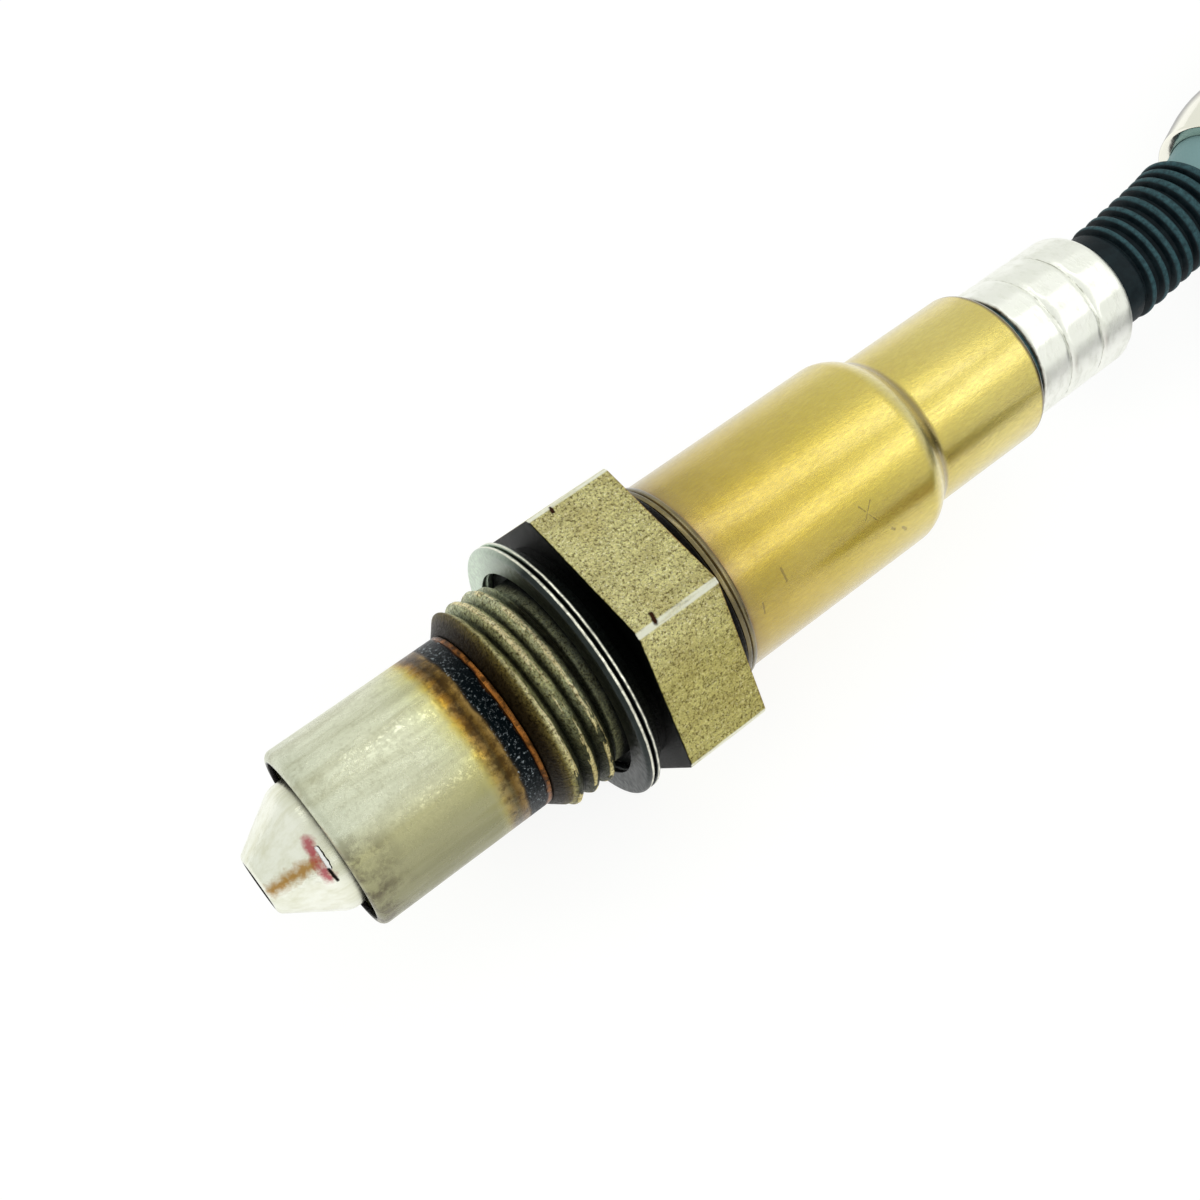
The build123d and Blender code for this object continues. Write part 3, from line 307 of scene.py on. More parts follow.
def worn_gasket_steel():
    """Rolled steel strip, dark with soot and painted lighter on its upper side, with a bright rubbed line
    round each folded edge.
    """
    material, tree, shader, place = begin("worn_gasket_steel")
    front = span("folded_gasket", 0)[0]
    black, white = "#000000", "#FFFFFF"
    lines = along(tree, place, [(front + x, tone) for x, tone in (
        (0, black), (0.34, black), (0.42, white), (0.52, white), (0.60, black),
        (0.90, black), (0.95, white), (1.02, white), (1.1, black), (1.2, black))], wander=0.03, patch=1.5)
    worn = put(tree, "MapRange", grain(tree, place, 0.5, 4.0, 0.7, (2, 1, 1)), 0.35, 0.6)
    # The upper side is painted much lighter, as painted light.
    painted_top_light = put(tree, "MapRange", put(tree, "SeparateXYZ", place, out="Y"), 3.0 * MM, 9.5 * MM)
    rubbed_wear_and_sheen = put(tree, "Math", from_axis(tree, place, 11.0, 11.2), lines, operation="MULTIPLY")
    rubbed_wear_and_sheen = put(tree, "Math", rubbed_wear_and_sheen, put(tree, "MapRange", worn, 0, 1, 0.45, 1.0), operation="MULTIPLY")
    colour = coat(
        tree, linear("#14191B"), (grain(tree, place, 1.5), 1.0, "#3C4240"), (painted_top_light, 0.95, "#E2F2DE"),
        (worn, 0.3, "#3A3E3C"), (rubbed_wear_and_sheen, 1.0, "#F4F2E0"))
    wire_up(tree, shader, Base_Color=colour, Metallic=1.0,
            Roughness=put(tree, "MapRange", worn, 0, 1, 0.42, 0.28))
    relief(tree, shader, (worn, 0.02))
    return material


def heat_tinted_nose_steel():
    """Drawn stainless tube, satin, blued and browned beside its weld, and painted darker underneath as
    painted shade.
    """
    material, tree, shader, place = begin("heat_tinted_nose_steel")
    colour = along(tree, place, [
        (-18.4, "#D8DCC6"), (-15.5, "#E4E7CF"), (-10.0, "#E2E4C8"), (-8.4, "#DCDEB8"), (-7.4, "#DAD69A"),
        (-7.0, "#D2BE62"), (-6.7, "#C09A3E"), (-6.35, "#855F24"), (-5.95, "#4A3617"), (-5.6, "#6A5226"),
        (-5.2, "#8A7040"), (-5.0, "#2A2620"), (-4.8, "#0C161A"), (-3.55, "#0A1216"), (-3.45, "#4A2812"),
        (-3.3, "#98602A"), (-3.12, "#8A5A2C"), (-2.97, "#4A3018")], wander=0.17, patch=2.4)
    x, y = put(tree, "SeparateXYZ", place, out="X"), put(tree, "SeparateXYZ", place, out="Y")
    patch = put(tree, "MapRange", grain(tree, place, 3.2, 5.0, 0.7), 0.40, 0.62)
    fine = put(tree, "MapRange", grain(tree, place, 0.45, 5.0, 0.8), 0.44, 0.62)
    drawn = put(tree, "MapRange", grain(tree, place, 1.1, 4.0, 0.6, (8, 1, 1)), 0.42, 0.66)

    # In front of the heat tint the tube keeps its clean colour above, and is painted duller below as painted
    # shade; at its mouth the lower side also gets dark patches, partly scorch and partly painted shade.
    under = put(tree, "MapRange", y, -3.4 * MM, -5.2 * MM, 0.0, 0.75)
    clean = put(tree, "MapRange", x, -5.6 * MM, -7.6 * MM)
    low_edge = put(tree, "MapRange", y, -5.6 * MM, -7.4 * MM)
    mouth = put(tree, "Math", put(tree, "MapRange", x, -14.5 * MM, -17.6 * MM), under, operation="MULTIPLY")
    scorch_and_painted_shade = put(tree, "Math", put(tree, "MapRange", patch, 0.1, 0.6), mouth, operation="MULTIPLY")
    painted_underside_shade, painted_low_edge_shade, fleck, hair = (
        put(tree, "Math", share, clean, operation="MULTIPLY")
        for share in (under, low_edge, put(tree, "Math", patch, fine, operation="MULTIPLY"), drawn))

    # The tint and the rear edge are blotched, and the dark band between them is a crust with white specks
    # painted as glints.
    tint = put(tree, "Math", put(tree, "MapRange", x, -7.2 * MM, -6.4 * MM),
               put(tree, "MapRange", x, -4.9 * MM, -5.1 * MM), operation="MULTIPLY")
    rear_edge = put(tree, "MapRange", x, -3.5 * MM, -3.35 * MM, 0.0, 1.35)
    blotch = put(tree, "Math", put(tree, "Math", tint, rear_edge, operation="MAXIMUM"),
                 put(tree, "MapRange", grain(tree, place, 0.8, 5.0, 0.75), 0.44, 0.58), operation="MULTIPLY")
    band = put(tree, "Math", put(tree, "MapRange", x, -5.1 * MM, -4.9 * MM),
               put(tree, "MapRange", x, -3.45 * MM, -3.6 * MM), operation="MULTIPLY")
    crust = grain(tree, place, 0.26, 5.0, 0.85)
    spark = put(tree, "Math", band, put(tree, "MapRange", crust, 0.57, 0.64), operation="MULTIPLY")
    # The lower edge is painted darker and the inside of the tube near-black, both as painted shade.
    colour = coat(
        tree, colour, (painted_underside_shade, 1.0, "#A6A068"), (painted_low_edge_shade, 0.6, "#6C6C54"), (scorch_and_painted_shade, 1.1, "#4C3E38"),
        (fleck, 0.38, "#908E70"), (hair, 0.5, "#A8A684"), (blotch, 0.65, "#2E1E0E"),
        (from_axis(tree, place, 7.05, 6.92), 1.0, "#16120F"), (spark, 0.85, "#DCE8EE"))
    rough = put(tree, "Math", put(tree, "MapRange", patch, 0, 1, 0.22, 0.34),
                put(tree, "Math", band, 0.08, operation="MULTIPLY"), operation="ADD")
    wire_up(tree, shader, Base_Color=colour, Metallic=1.0, Roughness=rough)
    relief(tree, shader, (put(tree, "Math", crust, band, operation="MULTIPLY"), 0.25), (fine, 0.012),
           (drawn, 0.012), (grain(tree, place, 1.4, 2.0, 0.5, (5, 1, 1)), 0.03))
    return material


def polished_nickel():
    """Drawn and polished nickel alloy, with a rub of red, a run of brown, a painted white highlight and a
    bore painted dark as painted shade.
    """
    material, tree, shader, place = begin("polished_nickel")
    cloud = grain(tree, place, 2.2, 3.0)
    drawn = put(tree, "MapRange", grain(tree, place, 0.9, 4.0, 0.6, (9, 1, 1)), 0.42, 0.68)
    colour = along(tree, place, [
        (-23.6, "#F6F8EA"), (-19.6, "#FAFBEE"), (-18.8, "#EDEEDC"), (-17.8, "#A8A490"), (-12.0, "#8C8578")],
        wander=0.2)
    run = mark(tree, place, (-23.2, -1.78, 2.11), (-19.82, -2.89, 4.12), 0.8, 0.9)
    rub = mark(tree, place, (-19.56, -1.64, 4.96), (-19.72, -3.95, 3.24), 0.65, 0.8)
    # A white spot painted as a highlight, a little raised by the bump.
    drop = mark(tree, place, (-19.25, -2.37, 4.79), (-19.29, -3.74, 3.82), 0.2)
    soot = mark(tree, place, (-19.42, -3.78, 3.73), (-19.32, -4.49, 2.9), 0.17)
    # The bore is painted near-black, as painted shade in the hole, together with the dark mark beside it.
    dark = put(tree, "Math", soot, from_axis(tree, place, 2.12, 2.02), operation="MAXIMUM")
    colour = coat(
        tree, colour, (drawn, 0.4, "#CDCBA4"), (run, 0.9, "#AC7C20"), (rub, 0.85, "#B0344A"),
        (drop, 1.0, "#FFFFFF"), (dark, 1.0, "#1A1613"))
    wire_up(tree, shader, Base_Color=colour, Metallic=1.0,
            Roughness=put(tree, "MapRange", cloud, 0.3, 0.7, 0.16, 0.28))
    relief(tree, shader, (grain(tree, place, 1.2, 2.0, 0.5, (3, 1, 1)), 0.02), (drawn, 0.02), (drop, 0.1))
    return material


def gold_sleeve_steel(colours):
    """Deep-drawn stainless sleeve, satin, tinted gold by heat and browner beside its weld."""
    material, tree, shader, place = begin("gold_sleeve_steel")
    # Colours along the axis. The pale band near 36.7 mm is a painted highlight on the shoulder's rounded
    # edge, the darker band near 37.95 mm is painted shade at its foot, and from 49.65 mm the rolled end is
    # painted near-black as painted shade in the gap before the collar.
    colour = along(tree, place, [
        (15.0, "#15130F"), (15.5, "#24221C"), (15.62, "#5C5C4C"), (15.75, "#15130F"), (15.95, "#241A12"),
        (16.1, "#6E4E2C"), (16.4, "#9A8232"), (17.5, "#B49C2E"), (22.0, "#C8B036"), (30.0, "#D6C24C"),
        (35.6, "#E0CE60"), (36.7, "#F0E6A4"), (37.3, "#D8C878"), (37.95, "#8E7E40"), (38.2, "#A08C44"),
        (38.5, "#DCCA60"), (44.0, "#E6D672"), (49.5, "#E6D672"), (49.65, "#4A3818"), (49.85, "#0E0C0A")],
        wander=0.06, patch=2.0)
    hair = put(tree, "MapRange", grain(tree, place, 0.22, 4.0, 0.75, (4, 1, 1)), 0.36, 0.66)
    cloud = put(tree, "MapRange", grain(tree, place, 3.5, 4.0), 0.38, 0.68)
    pit = put(tree, "MapRange", grain(tree, place, 0.8, 5.0, 0.8), 0.73, 0.78)

    # Scratches by their two ends and width.
    for start, end, width in (
            ((28.4, -6.2, 6.03), (29.47, -7.36, 4.54), 0.08),
            ((29.53, -6.25, 5.98), (28.52, -7.02, 5.05), 0.08),
            ((20.14, -6.38, 5.84), (20.17, -7.14, 4.88), 0.12),
            ((30.68, -8.08, 3.09), (30.96, -8.18, 2.8), 0.16),
            ((17.6, -7.31, 4.61), (17.48, -7.75, 3.84), 0.1),
            ((31.8, -8.3, 2.41), (32.11, -8.42, 1.97), 0.16)):
        pit = put(tree, "Math", pit, mark(tree, place, start, end, width), operation="MAXIMUM")
    tinted = put(tree, "Mix", 0.12, colour, list(colours.sleeve_gold), data_type="RGBA")
    colour = coat(tree, tinted, (hair, 0.25, "#A88A34", "MULTIPLY"), (cloud, 0.2, "#E0C670"),
                  (pit, 0.45, "#5A4218"))
    wire_up(tree, shader, Base_Color=colour, Metallic=1.0,
            Roughness=put(tree, "MapRange", hair, 0, 1, 0.18, 0.28),
            Coat_Weight=0.55, Coat_Roughness=0.16, Coat_IOR=1.9)
    relief(tree, shader, (hair, 0.006), (grain(tree, place, 0.16, 4.0, 0.8), 0.012), (pit, -0.02))
    return material


def pale_collar_steel():
    """Stainless ring, tumbled to a pale satin and marked by the crimping jaws."""
    material, tree, shader, place = begin("pale_collar_steel")
    scuff = put(tree, "MapRange", grain(tree, place, 0.7, 5.0, 0.7, (1, 2, 2)), 0.48, 0.68)
    cloud = grain(tree, place, 2.4, 3.0)
    front = span("crimp_collar", 0)[0]
    # The front edge and the two grooves are painted darker: painted shade in the grooves and at the edge,
    # with fine scratch lines along the grooves.
    groove_scratches_and_shade = along(tree, place, [(front + x, tone) for x, tone in (
        (0, "#8A8070"), (0.25, "#FFFFFF"), (3.4, "#FFFFFF"), (3.5, "#8C8C80"), (3.6, "#FFFFFF"),
        (7.3, "#FFFFFF"), (7.4, "#8C8C80"), (7.5, "#FFFFFF"), (8, "#FFFFFF"))], wander=0.08, patch=1.5)
    patchy = put(tree, "MapRange", grain(tree, place, 1.6, 3.0), 0.42, 0.6, 0.1, 0.9)
    colour = coat(tree, linear("#FFFFFA"), (cloud, 1.0, "#F6F8EE"), (scuff, 0.25, "#C4C6B8"),
                  (patchy, 1.0, groove_scratches_and_shade, "MULTIPLY"))
    wire_up(tree, shader, Base_Color=colour, Metallic=1.0,
            Roughness=put(tree, "MapRange", scuff, 0, 1, 0.36, 0.50))
    relief(tree, shader, (cloud, 0.03), (scuff, 0.01))
    return material


def bright_chrome():
    """Chromed metal, bright and warm, with a painted dark reflection where it turns away, rippled faintly by
    its swaging.
    """
    material, tree, shader, place = begin("bright_chrome")
    ripple = grain(tree, place, 1.6, 2.0)
    painted_dark_edge_reflection = put(tree, "MapRange", put(tree, "LayerWeight", 0.5, out="Facing"), 0.66, 0.86)
    wire_up(tree, shader, Base_Color=coat(tree, linear("#FAF8EC"), (painted_dark_edge_reflection, 1.0, "#3C3832")), Metallic=1.0,
            Roughness=put(tree, "MapRange", ripple, 0.3, 0.7, 0.08, 0.16))
    relief(tree, shader, (ripple, 0.02))
    return material


def moulded_rubber(name, colour, dust="#6B7780", rough=0.62):
    """Moulded rubber: matt, with a bloom of pale dust and a fine skin, drawn coarse so that it shows."""
    material, tree, shader, place = begin(name)
    bloom = put(tree, "MapRange", grain(tree, place, 1.8, 4.0, 0.65), 0.45, 0.75)
    wire_up(tree, shader, Base_Color=coat(tree, linear(colour), (bloom, 0.22, dust)), IOR=1.52,
            Roughness=put(tree, "MapRange", bloom, 0, 1, rough - 0.1, rough + 0.08))
    relief(tree, shader, (grain(tree, place, 0.12), 0.01), (bloom, 0.01))
    return material


def moulded_boot_rubber(colours):
    """Blue-black rubber boot: its rib crests get a painted highlight and its cuff is painted much paler, as
    painted light.
    """
    material, tree, shader, place = begin("moulded_boot_rubber")
    rise = put(tree, "Attribute", attribute_name="rise", out="Fac")
    bloom = put(tree, "MapRange", grain(tree, place, 1.2, 4.0, 0.65), 0.40, 0.70)
    # The crests are painted paler as a painted highlight, broken up by a grain, and the cuff is painted paler
    # as painted light.
    rubbed_wear_and_sheen = put(tree, "MapRange", grain(tree, place, 0.35, 4.0, 0.7), 0.35, 0.62, 0.35, 1.0)
    crest = put(tree, "Math", put(tree, "MapRange", rise, 0.84, 1.0), rubbed_wear_and_sheen, operation="MULTIPLY")
    cuff = put(tree, "MapRange", rise, 1.3, 1.7)
    tone = coat(tree, list(colours.boot_black), (crest, 1.0, "#33555C"), (bloom, 0.10, "#4E666C"),
                (cuff, 0.92, "#7FA0A2"))
    wire_up(tree, shader, Base_Color=tone, Specular_IOR_Level=0.14,
            Roughness=put(tree, "MapRange", bloom, 0, 1, 0.50, 0.65))
    relief(tree, shader, (grain(tree, place, 0.12), 0.012), (bloom, 0.01))
    return material


def braided_sheath(colours):
    """Glass-fibre sleeving soaked in black varnish: a fine crossed weave over the lead."""
    material, tree, shader, place = begin("varnished_braid")
    # The texture draws about 20 bands to one of its units, and a strand is 0.9 mm wide.
    scale = 1 / (20 * 0.9 * MM)
    weave = put(tree, "TexWave", place, scale, 1.2, 2.0, 2.0, bands_direction="DIAGONAL", out="Fac")
    cross = grain(tree, place, 0.4)
    tone = coat(tree, list(colours.lead_grey), (weave, 0.35, "#566067"), (cross, 0.3, "#15181A"))
    wire_up(tree, shader, Base_Color=tone, IOR=1.5,
            Roughness=put(tree, "MapRange", cross, 0.3, 0.7, 0.45, 0.68))
    relief(tree, shader, (weave, 0.03), (cross, 0.02))
    return material


def moulded_plastic(name, colour, rough=0.45):
    """Glass-filled nylon from a spark-eroded mould: an even, fine, dull grain."""
    material, tree, shader, place = begin(name)
    spark = grain(tree, place, 0.18)
    cloud = put(tree, "MapRange", grain(tree, place, 5.0, 2.0), 0.35, 0.7)
    wire_up(tree, shader, Base_Color=coat(tree, linear(colour), (cloud, 0.18, "#8E8E8A")), IOR=1.5,
            Roughness=put(tree, "MapRange", spark, 0.3, 0.7, rough - 0.06, rough + 0.1))
    relief(tree, shader, (spark, 0.012))
    return material


def fired_ceramic(name, colour):
    """Fired steatite or zirconia: dense, pale and matt, with faint press marks."""
    material, tree, shader, place = begin(name)
    cloud = grain(tree, place, 1.4, 4.0)
    pressed = put(tree, "MapRange", cloud, 0.4, 0.7)
    wire_up(tree, shader, Base_Color=coat(tree, linear(colour), (pressed, 0.4, "#B9AE98")), IOR=1.6,
            Roughness=put(tree, "MapRange", cloud, 0.3, 0.7, 0.5, 0.7))
    relief(tree, shader, (grain(tree, place, 0.2), 0.01))
    return material


def plated_contact():
    """Stamped nickel-bronze strip with a thin gold flash."""
    material, tree, shader, place = begin("plated_contact")
    roll = grain(tree, place, 0.15, 3.0, 0.6, (6, 1, 1))
    wire_up(tree, shader, Base_Color=coat(tree, linear("#D8BC6A"), (roll, 1.0, "#A98E4E")), Metallic=1.0,
            Roughness=put(tree, "MapRange", roll, 0.3, 0.7, 0.22, 0.36))
    relief(tree, shader, (roll, 0.003))
    return material


# ------------------------------------------------------------------ mesh helpers


def lathe(outline, steps):
    """Turns a closed section about the sensor's axis. Its corners are (x, radius, rounding) in mm."""
    bm = bmesh.new()
    corners = [bm.verts.new((x * MM, r * MM, 0)) for x, r, size in outline]
    for first, second in zip(corners, corners[1:] + corners[:1]):
        bm.edges.new((first, second))
    for rounding in sorted({size for x, r, size in outline if size}):
        picked = [corner for corner, (x, r, size) in zip(corners, outline) if size == rounding]
        bmesh.ops.bevel(
            bm, geom=picked, offset=rounding * MM, offset_type="OFFSET", segments=5, profile=0.5,
            affect="VERTICES", material=-1, clamp_overlap=True)
    bmesh.ops.spin(
        bm, geom=bm.verts[:] + bm.edges[:], cent=(0, 0, 0), axis=(1, 0, 0), angle=tau, steps=steps,
        use_merge=True)
    bmesh.ops.remove_doubles(bm, verts=bm.verts[:], dist=1e-7)
    bmesh.ops.recalc_face_normals(bm, faces=bm.faces[:])
    return bm


def finish_piece(name, bm, material, nodes, crease=32):
    """Makes the mesh an object that rides on the body and stands for its CAD nodes."""
    mesh = bpy.data.meshes.new(name)
    bm.to_mesh(mesh)
    bm.free()
    mesh.materials.append(material)
    mesh.shade_smooth()
    mesh.set_sharp_from_angle(angle=radians(crease))
    piece = bpy.data.objects.new(name, mesh)
    bpy.context.collection.objects.link(piece)
    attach(piece, "root")
    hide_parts(*nodes)


def give(node, material):
    """Gives a CAD node its finish."""
    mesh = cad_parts[node].data
    mesh.materials.clear()
    mesh.materials.append(material)


# The boot climbs as it leaves the collar and then swings to the side. Each stretch is its
# length in mm, and the pitch and yaw it ends at, in degrees.
BOOT_START = 62.27
BOOT_STEP = 0.4
BOOT_STRETCHES = ((7.82, 16.0, 0.0), (2.47, 16.0, 0.0), (8.34, 4.0, 21.0), (16.0, 4.0, 21.0))
CUFF_END = BOOT_START + 22.35
FERRULE_FRONT = CUFF_END - 3.4
FERRULE_REAR = FERRULE_FRONT + 8.1


def heading(pitch, yaw):
    """The direction that a pitch and a yaw in degrees give."""
    pitch, yaw = radians(pitch), radians(yaw)
    return Vector((cos(pitch) * cos(yaw), cos(pitch) * sin(yaw), sin(pitch)))


def boot_way(distance):
    """The place and direction on the boot's middle line, this far along from the sensor's origin."""
    place, way = Vector((min(distance, BOOT_START), 0, 0)), Vector((1, 0, 0))
    left, pitch, yaw = distance - BOOT_START, 0.0, 0.0
    for length, pitch_end, yaw_end in BOOT_STRETCHES:
        if left <= 0:
            break
        part = min(left, length)
        pieces = max(1, int(part / BOOT_STEP))
        for i in range(pieces):
            share = (i + 0.5) / pieces * part / length
            way = heading(pitch + (pitch_end - pitch) * share, yaw + (yaw_end - yaw) * share)
            place = place + way * (part / pieces)
        share = part / length
        way = heading(pitch + (pitch_end - pitch) * share, yaw + (yaw_end - yaw) * share)
        left -= part
        pitch, yaw = pitch_end, yaw_end
    return place, way


def bend_along_boot(bm):
    """Carries a straight turned piece onto the boot's middle line."""
    known = {}
    for vert in bm.verts:
        distance = round(vert.co.x / MM, 4)
        if distance <= BOOT_START:
            continue
        if distance not in known:
            place, way = boot_way(distance)
            known[distance] = place * MM, Vector((1, 0, 0)).rotation_difference(way)
        place, turn = known[distance]
        vert.co = place + turn @ Vector((0, vert.co.y, vert.co.z))


# ------------------------------------------------------------------ operators

# Where the camera stands, in mm, and its turn about x, y and z, in degrees.
CAMERA_PLACE = (-26.827, -46.006, 102.163)
CAMERA_ANGLES = (30.9230, 1.2171, -38.9879)


class SENSOR_OT_studio(bpy.types.Operator):
    """Sets the camera, the soft lamps, the pale room and the floor"""

    bl_idname = "sensor.studio"
    bl_label = "Studio"

    def execute(self, context):
        scene, settings = context.scene, context.scene.sensor_studio
        camera = bpy.data.objects.new("camera", bpy.data.cameras.new("camera"))
        context.collection.objects.link(camera)
        camera.data.sensor_width = 36.0
        camera.data.lens = settings.lens
        camera.data.clip_start, camera.data.clip_end = 0.01, 10
        camera.location = Vector(CAMERA_PLACE) * MM
        camera.rotation_euler = Euler([radians(angle) for angle in CAMERA_ANGLES])
        scene.camera = camera
        scene.view_settings.view_transform = "Standard"

        # One tube lamp runs obliquely overhead and one runs along the sensor, nearer the camera.
        for name, first, last, width, share in (
            ("oblique_strip", (0, 177, 260), (260, -54, 260), 70, 1.0),
            ("near_strip", (20, -390, 260), (400, -140, 260), 110, 1.7),
        ):
            start, end = Vector(first) * MM, Vector(last) * MM
            lamp = bpy.data.objects.new(name, bpy.data.lights.new(name, "AREA"))
            context.collection.objects.link(lamp)
            lamp.data.shape = "RECTANGLE"
            lamp.data.size, lamp.data.size_y = (end - start).length, width * MM
            lamp.data.energy = settings.lamp_power * share
            aim = Vector((20, 0, 0)) * MM - (start + end) / 2
            long_way = (end - start).normalized()
            down = (aim - long_way * aim.dot(long_way)).normalized()
            turned = Matrix((long_way, down.cross(long_way) * -1, -down)).transposed()
            lamp.matrix_world = Matrix.Translation((start + end) / 2) @ turned.to_4x4()

        floor = bmesh.new()
        bmesh.ops.create_grid(floor, x_segments=1, y_segments=1, size=3.0,
                              matrix=Matrix.Translation((0, 0, CAD_BOX[0][2])))
        mesh = bpy.data.meshes.new("floor")
        floor.to_mesh(mesh)
        floor.free()
        ground = bpy.data.objects.new("floor", mesh)
        context.collection.objects.link(ground)
        mesh.materials.append(self.floor_paper())

        world = bpy.data.worlds.new("pale_room")
        world.use_nodes = True
        scene.world = world
        tree = world.node_tree
        seen = put(tree, "Math", put(tree, "LightPath", out="Is Camera Ray"),
                   put(tree, "LightPath", out="Is Transmission Ray"), operation="MAXIMUM")
        wire_up(tree, tree.nodes["Background"], Color=coat(tree, linear("#FDFFFA"), (seen, 1.0, "#FFFFFF")),
                Strength=put(tree, "MapRange", seen, 0, 1, settings.room_level, 1.0))
        return {"FINISHED"}

    def floor_paper(self):
        """White paper sweep: it keeps the soft shadow, and is plain white to the eye."""
        material = bpy.data.materials.new("white_paper")
        material.use_nodes = True
        tree = material.node_tree
        tree.nodes.clear()
        in_metal, to_the_eye = 0.82, 0.86
        level = put(tree, "MapRange", put(tree, "LightPath", out="Is Camera Ray"), 0, 1, in_metal, to_the_eye)
        glow = put(tree, "Emission", linear("#FFFFFF"), level)
        paper = put(tree, "BsdfDiffuse", linear("#787977"))
        put(tree, "OutputMaterial", put(tree, "AddShader", glow, paper))
        return material


class SENSOR_OT_lead(bpy.types.Operator):
    """Lays the lead from the ferrule, round its put-away coil, to the connector"""

    bl_idname = "sensor.lead"
    bl_label = "Lead"

    def execute(self, context):
        sizes, colours = context.scene.sensor_sizes, context.scene.sensor_colours
        coil_low, coil_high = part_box("lead_coil")
        middle = (coil_low + coil_high) / 2
        layer = (coil_high.z - coil_low.z) / 3
        bottom, top = coil_low.z + layer / 2, coil_high.z - layer / 2
        plug_low, plug_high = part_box("plug_housing")

        # Three short runs settle the lead level, and it joins the coil's top layer at 108 degrees.
        start, way = boot_way(CUFF_END + 0.05)
        start, run = start * MM, 8.4 * MM
        bend_1 = start + way * run
        bend_2 = bend_1 + heading(0, 19.5) * run
        bend_2.z = top
        points = [start, bend_1, bend_2]

        # Twenty control points a turn, clockwise from above. It drops a layer after each pass
        # of the tail's place, where the CAD coil is open. Angles are in degrees.
        apart, first, last, drop_length = 18, 99, -801, 60
        reach = sizes.coil_radius / cos(radians(apart / 2))
        for angle in range(first, last - 1, -apart):
            drop = 0.0
            for begins in (-100, -460):
                share = min(1.0, max(0.0, (begins - angle) / drop_length))
                drop += share * share * (3 - 2 * share)
            place = Vector((middle.x, middle.y, top - drop * layer))
            points.append(place + heading(0, angle) * reach)

        # The tail clears the coil and rises to the connector's middle.
        leave = Vector((middle.x, middle.y - sizes.coil_radius, bottom))
        plug_middle = (plug_low.z + plug_high.z) / 2
        rise = plug_middle - bottom
        for x, y, z in ((-9.0, 0, 0), (-18.5, -0.5, 0), (-28.5, -1.0, 1), (-38.1, -1.0, 1)):
            points.append(leave + Vector((x * MM, y * MM, z * rise)))

        curve = bpy.data.curves.new("lead", "CURVE")
        curve.dimensions = "3D"
        spline = curve.splines.new("NURBS")
        spline.points.add(len(points) - 1)
        for point, place in zip(spline.points, points):
            point.co = (*place, 1)
        spline.order_u = 3
        spline.use_endpoint_u = True
        spline.resolution_u = 5
        curve.bevel_depth = sizes.lead_diameter / 2
        curve.bevel_resolution = 6
        curve.use_fill_caps = True
        curve.materials.append(braided_sheath(colours))
        lead = bpy.data.objects.new("lead", curve)
        context.collection.objects.link(lead)
        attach(lead, "root")
        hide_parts("lead_upper", "lead_coil", "lead_tail")
        on_it = ["coil_tie", "plug_housing", "plug_seal", "plug_latch", "plug_guard"]
        on_it += [f"plug_terminal_{i}" for i in range(1, 7)]
        tuple(start)
        return {"FINISHED"}


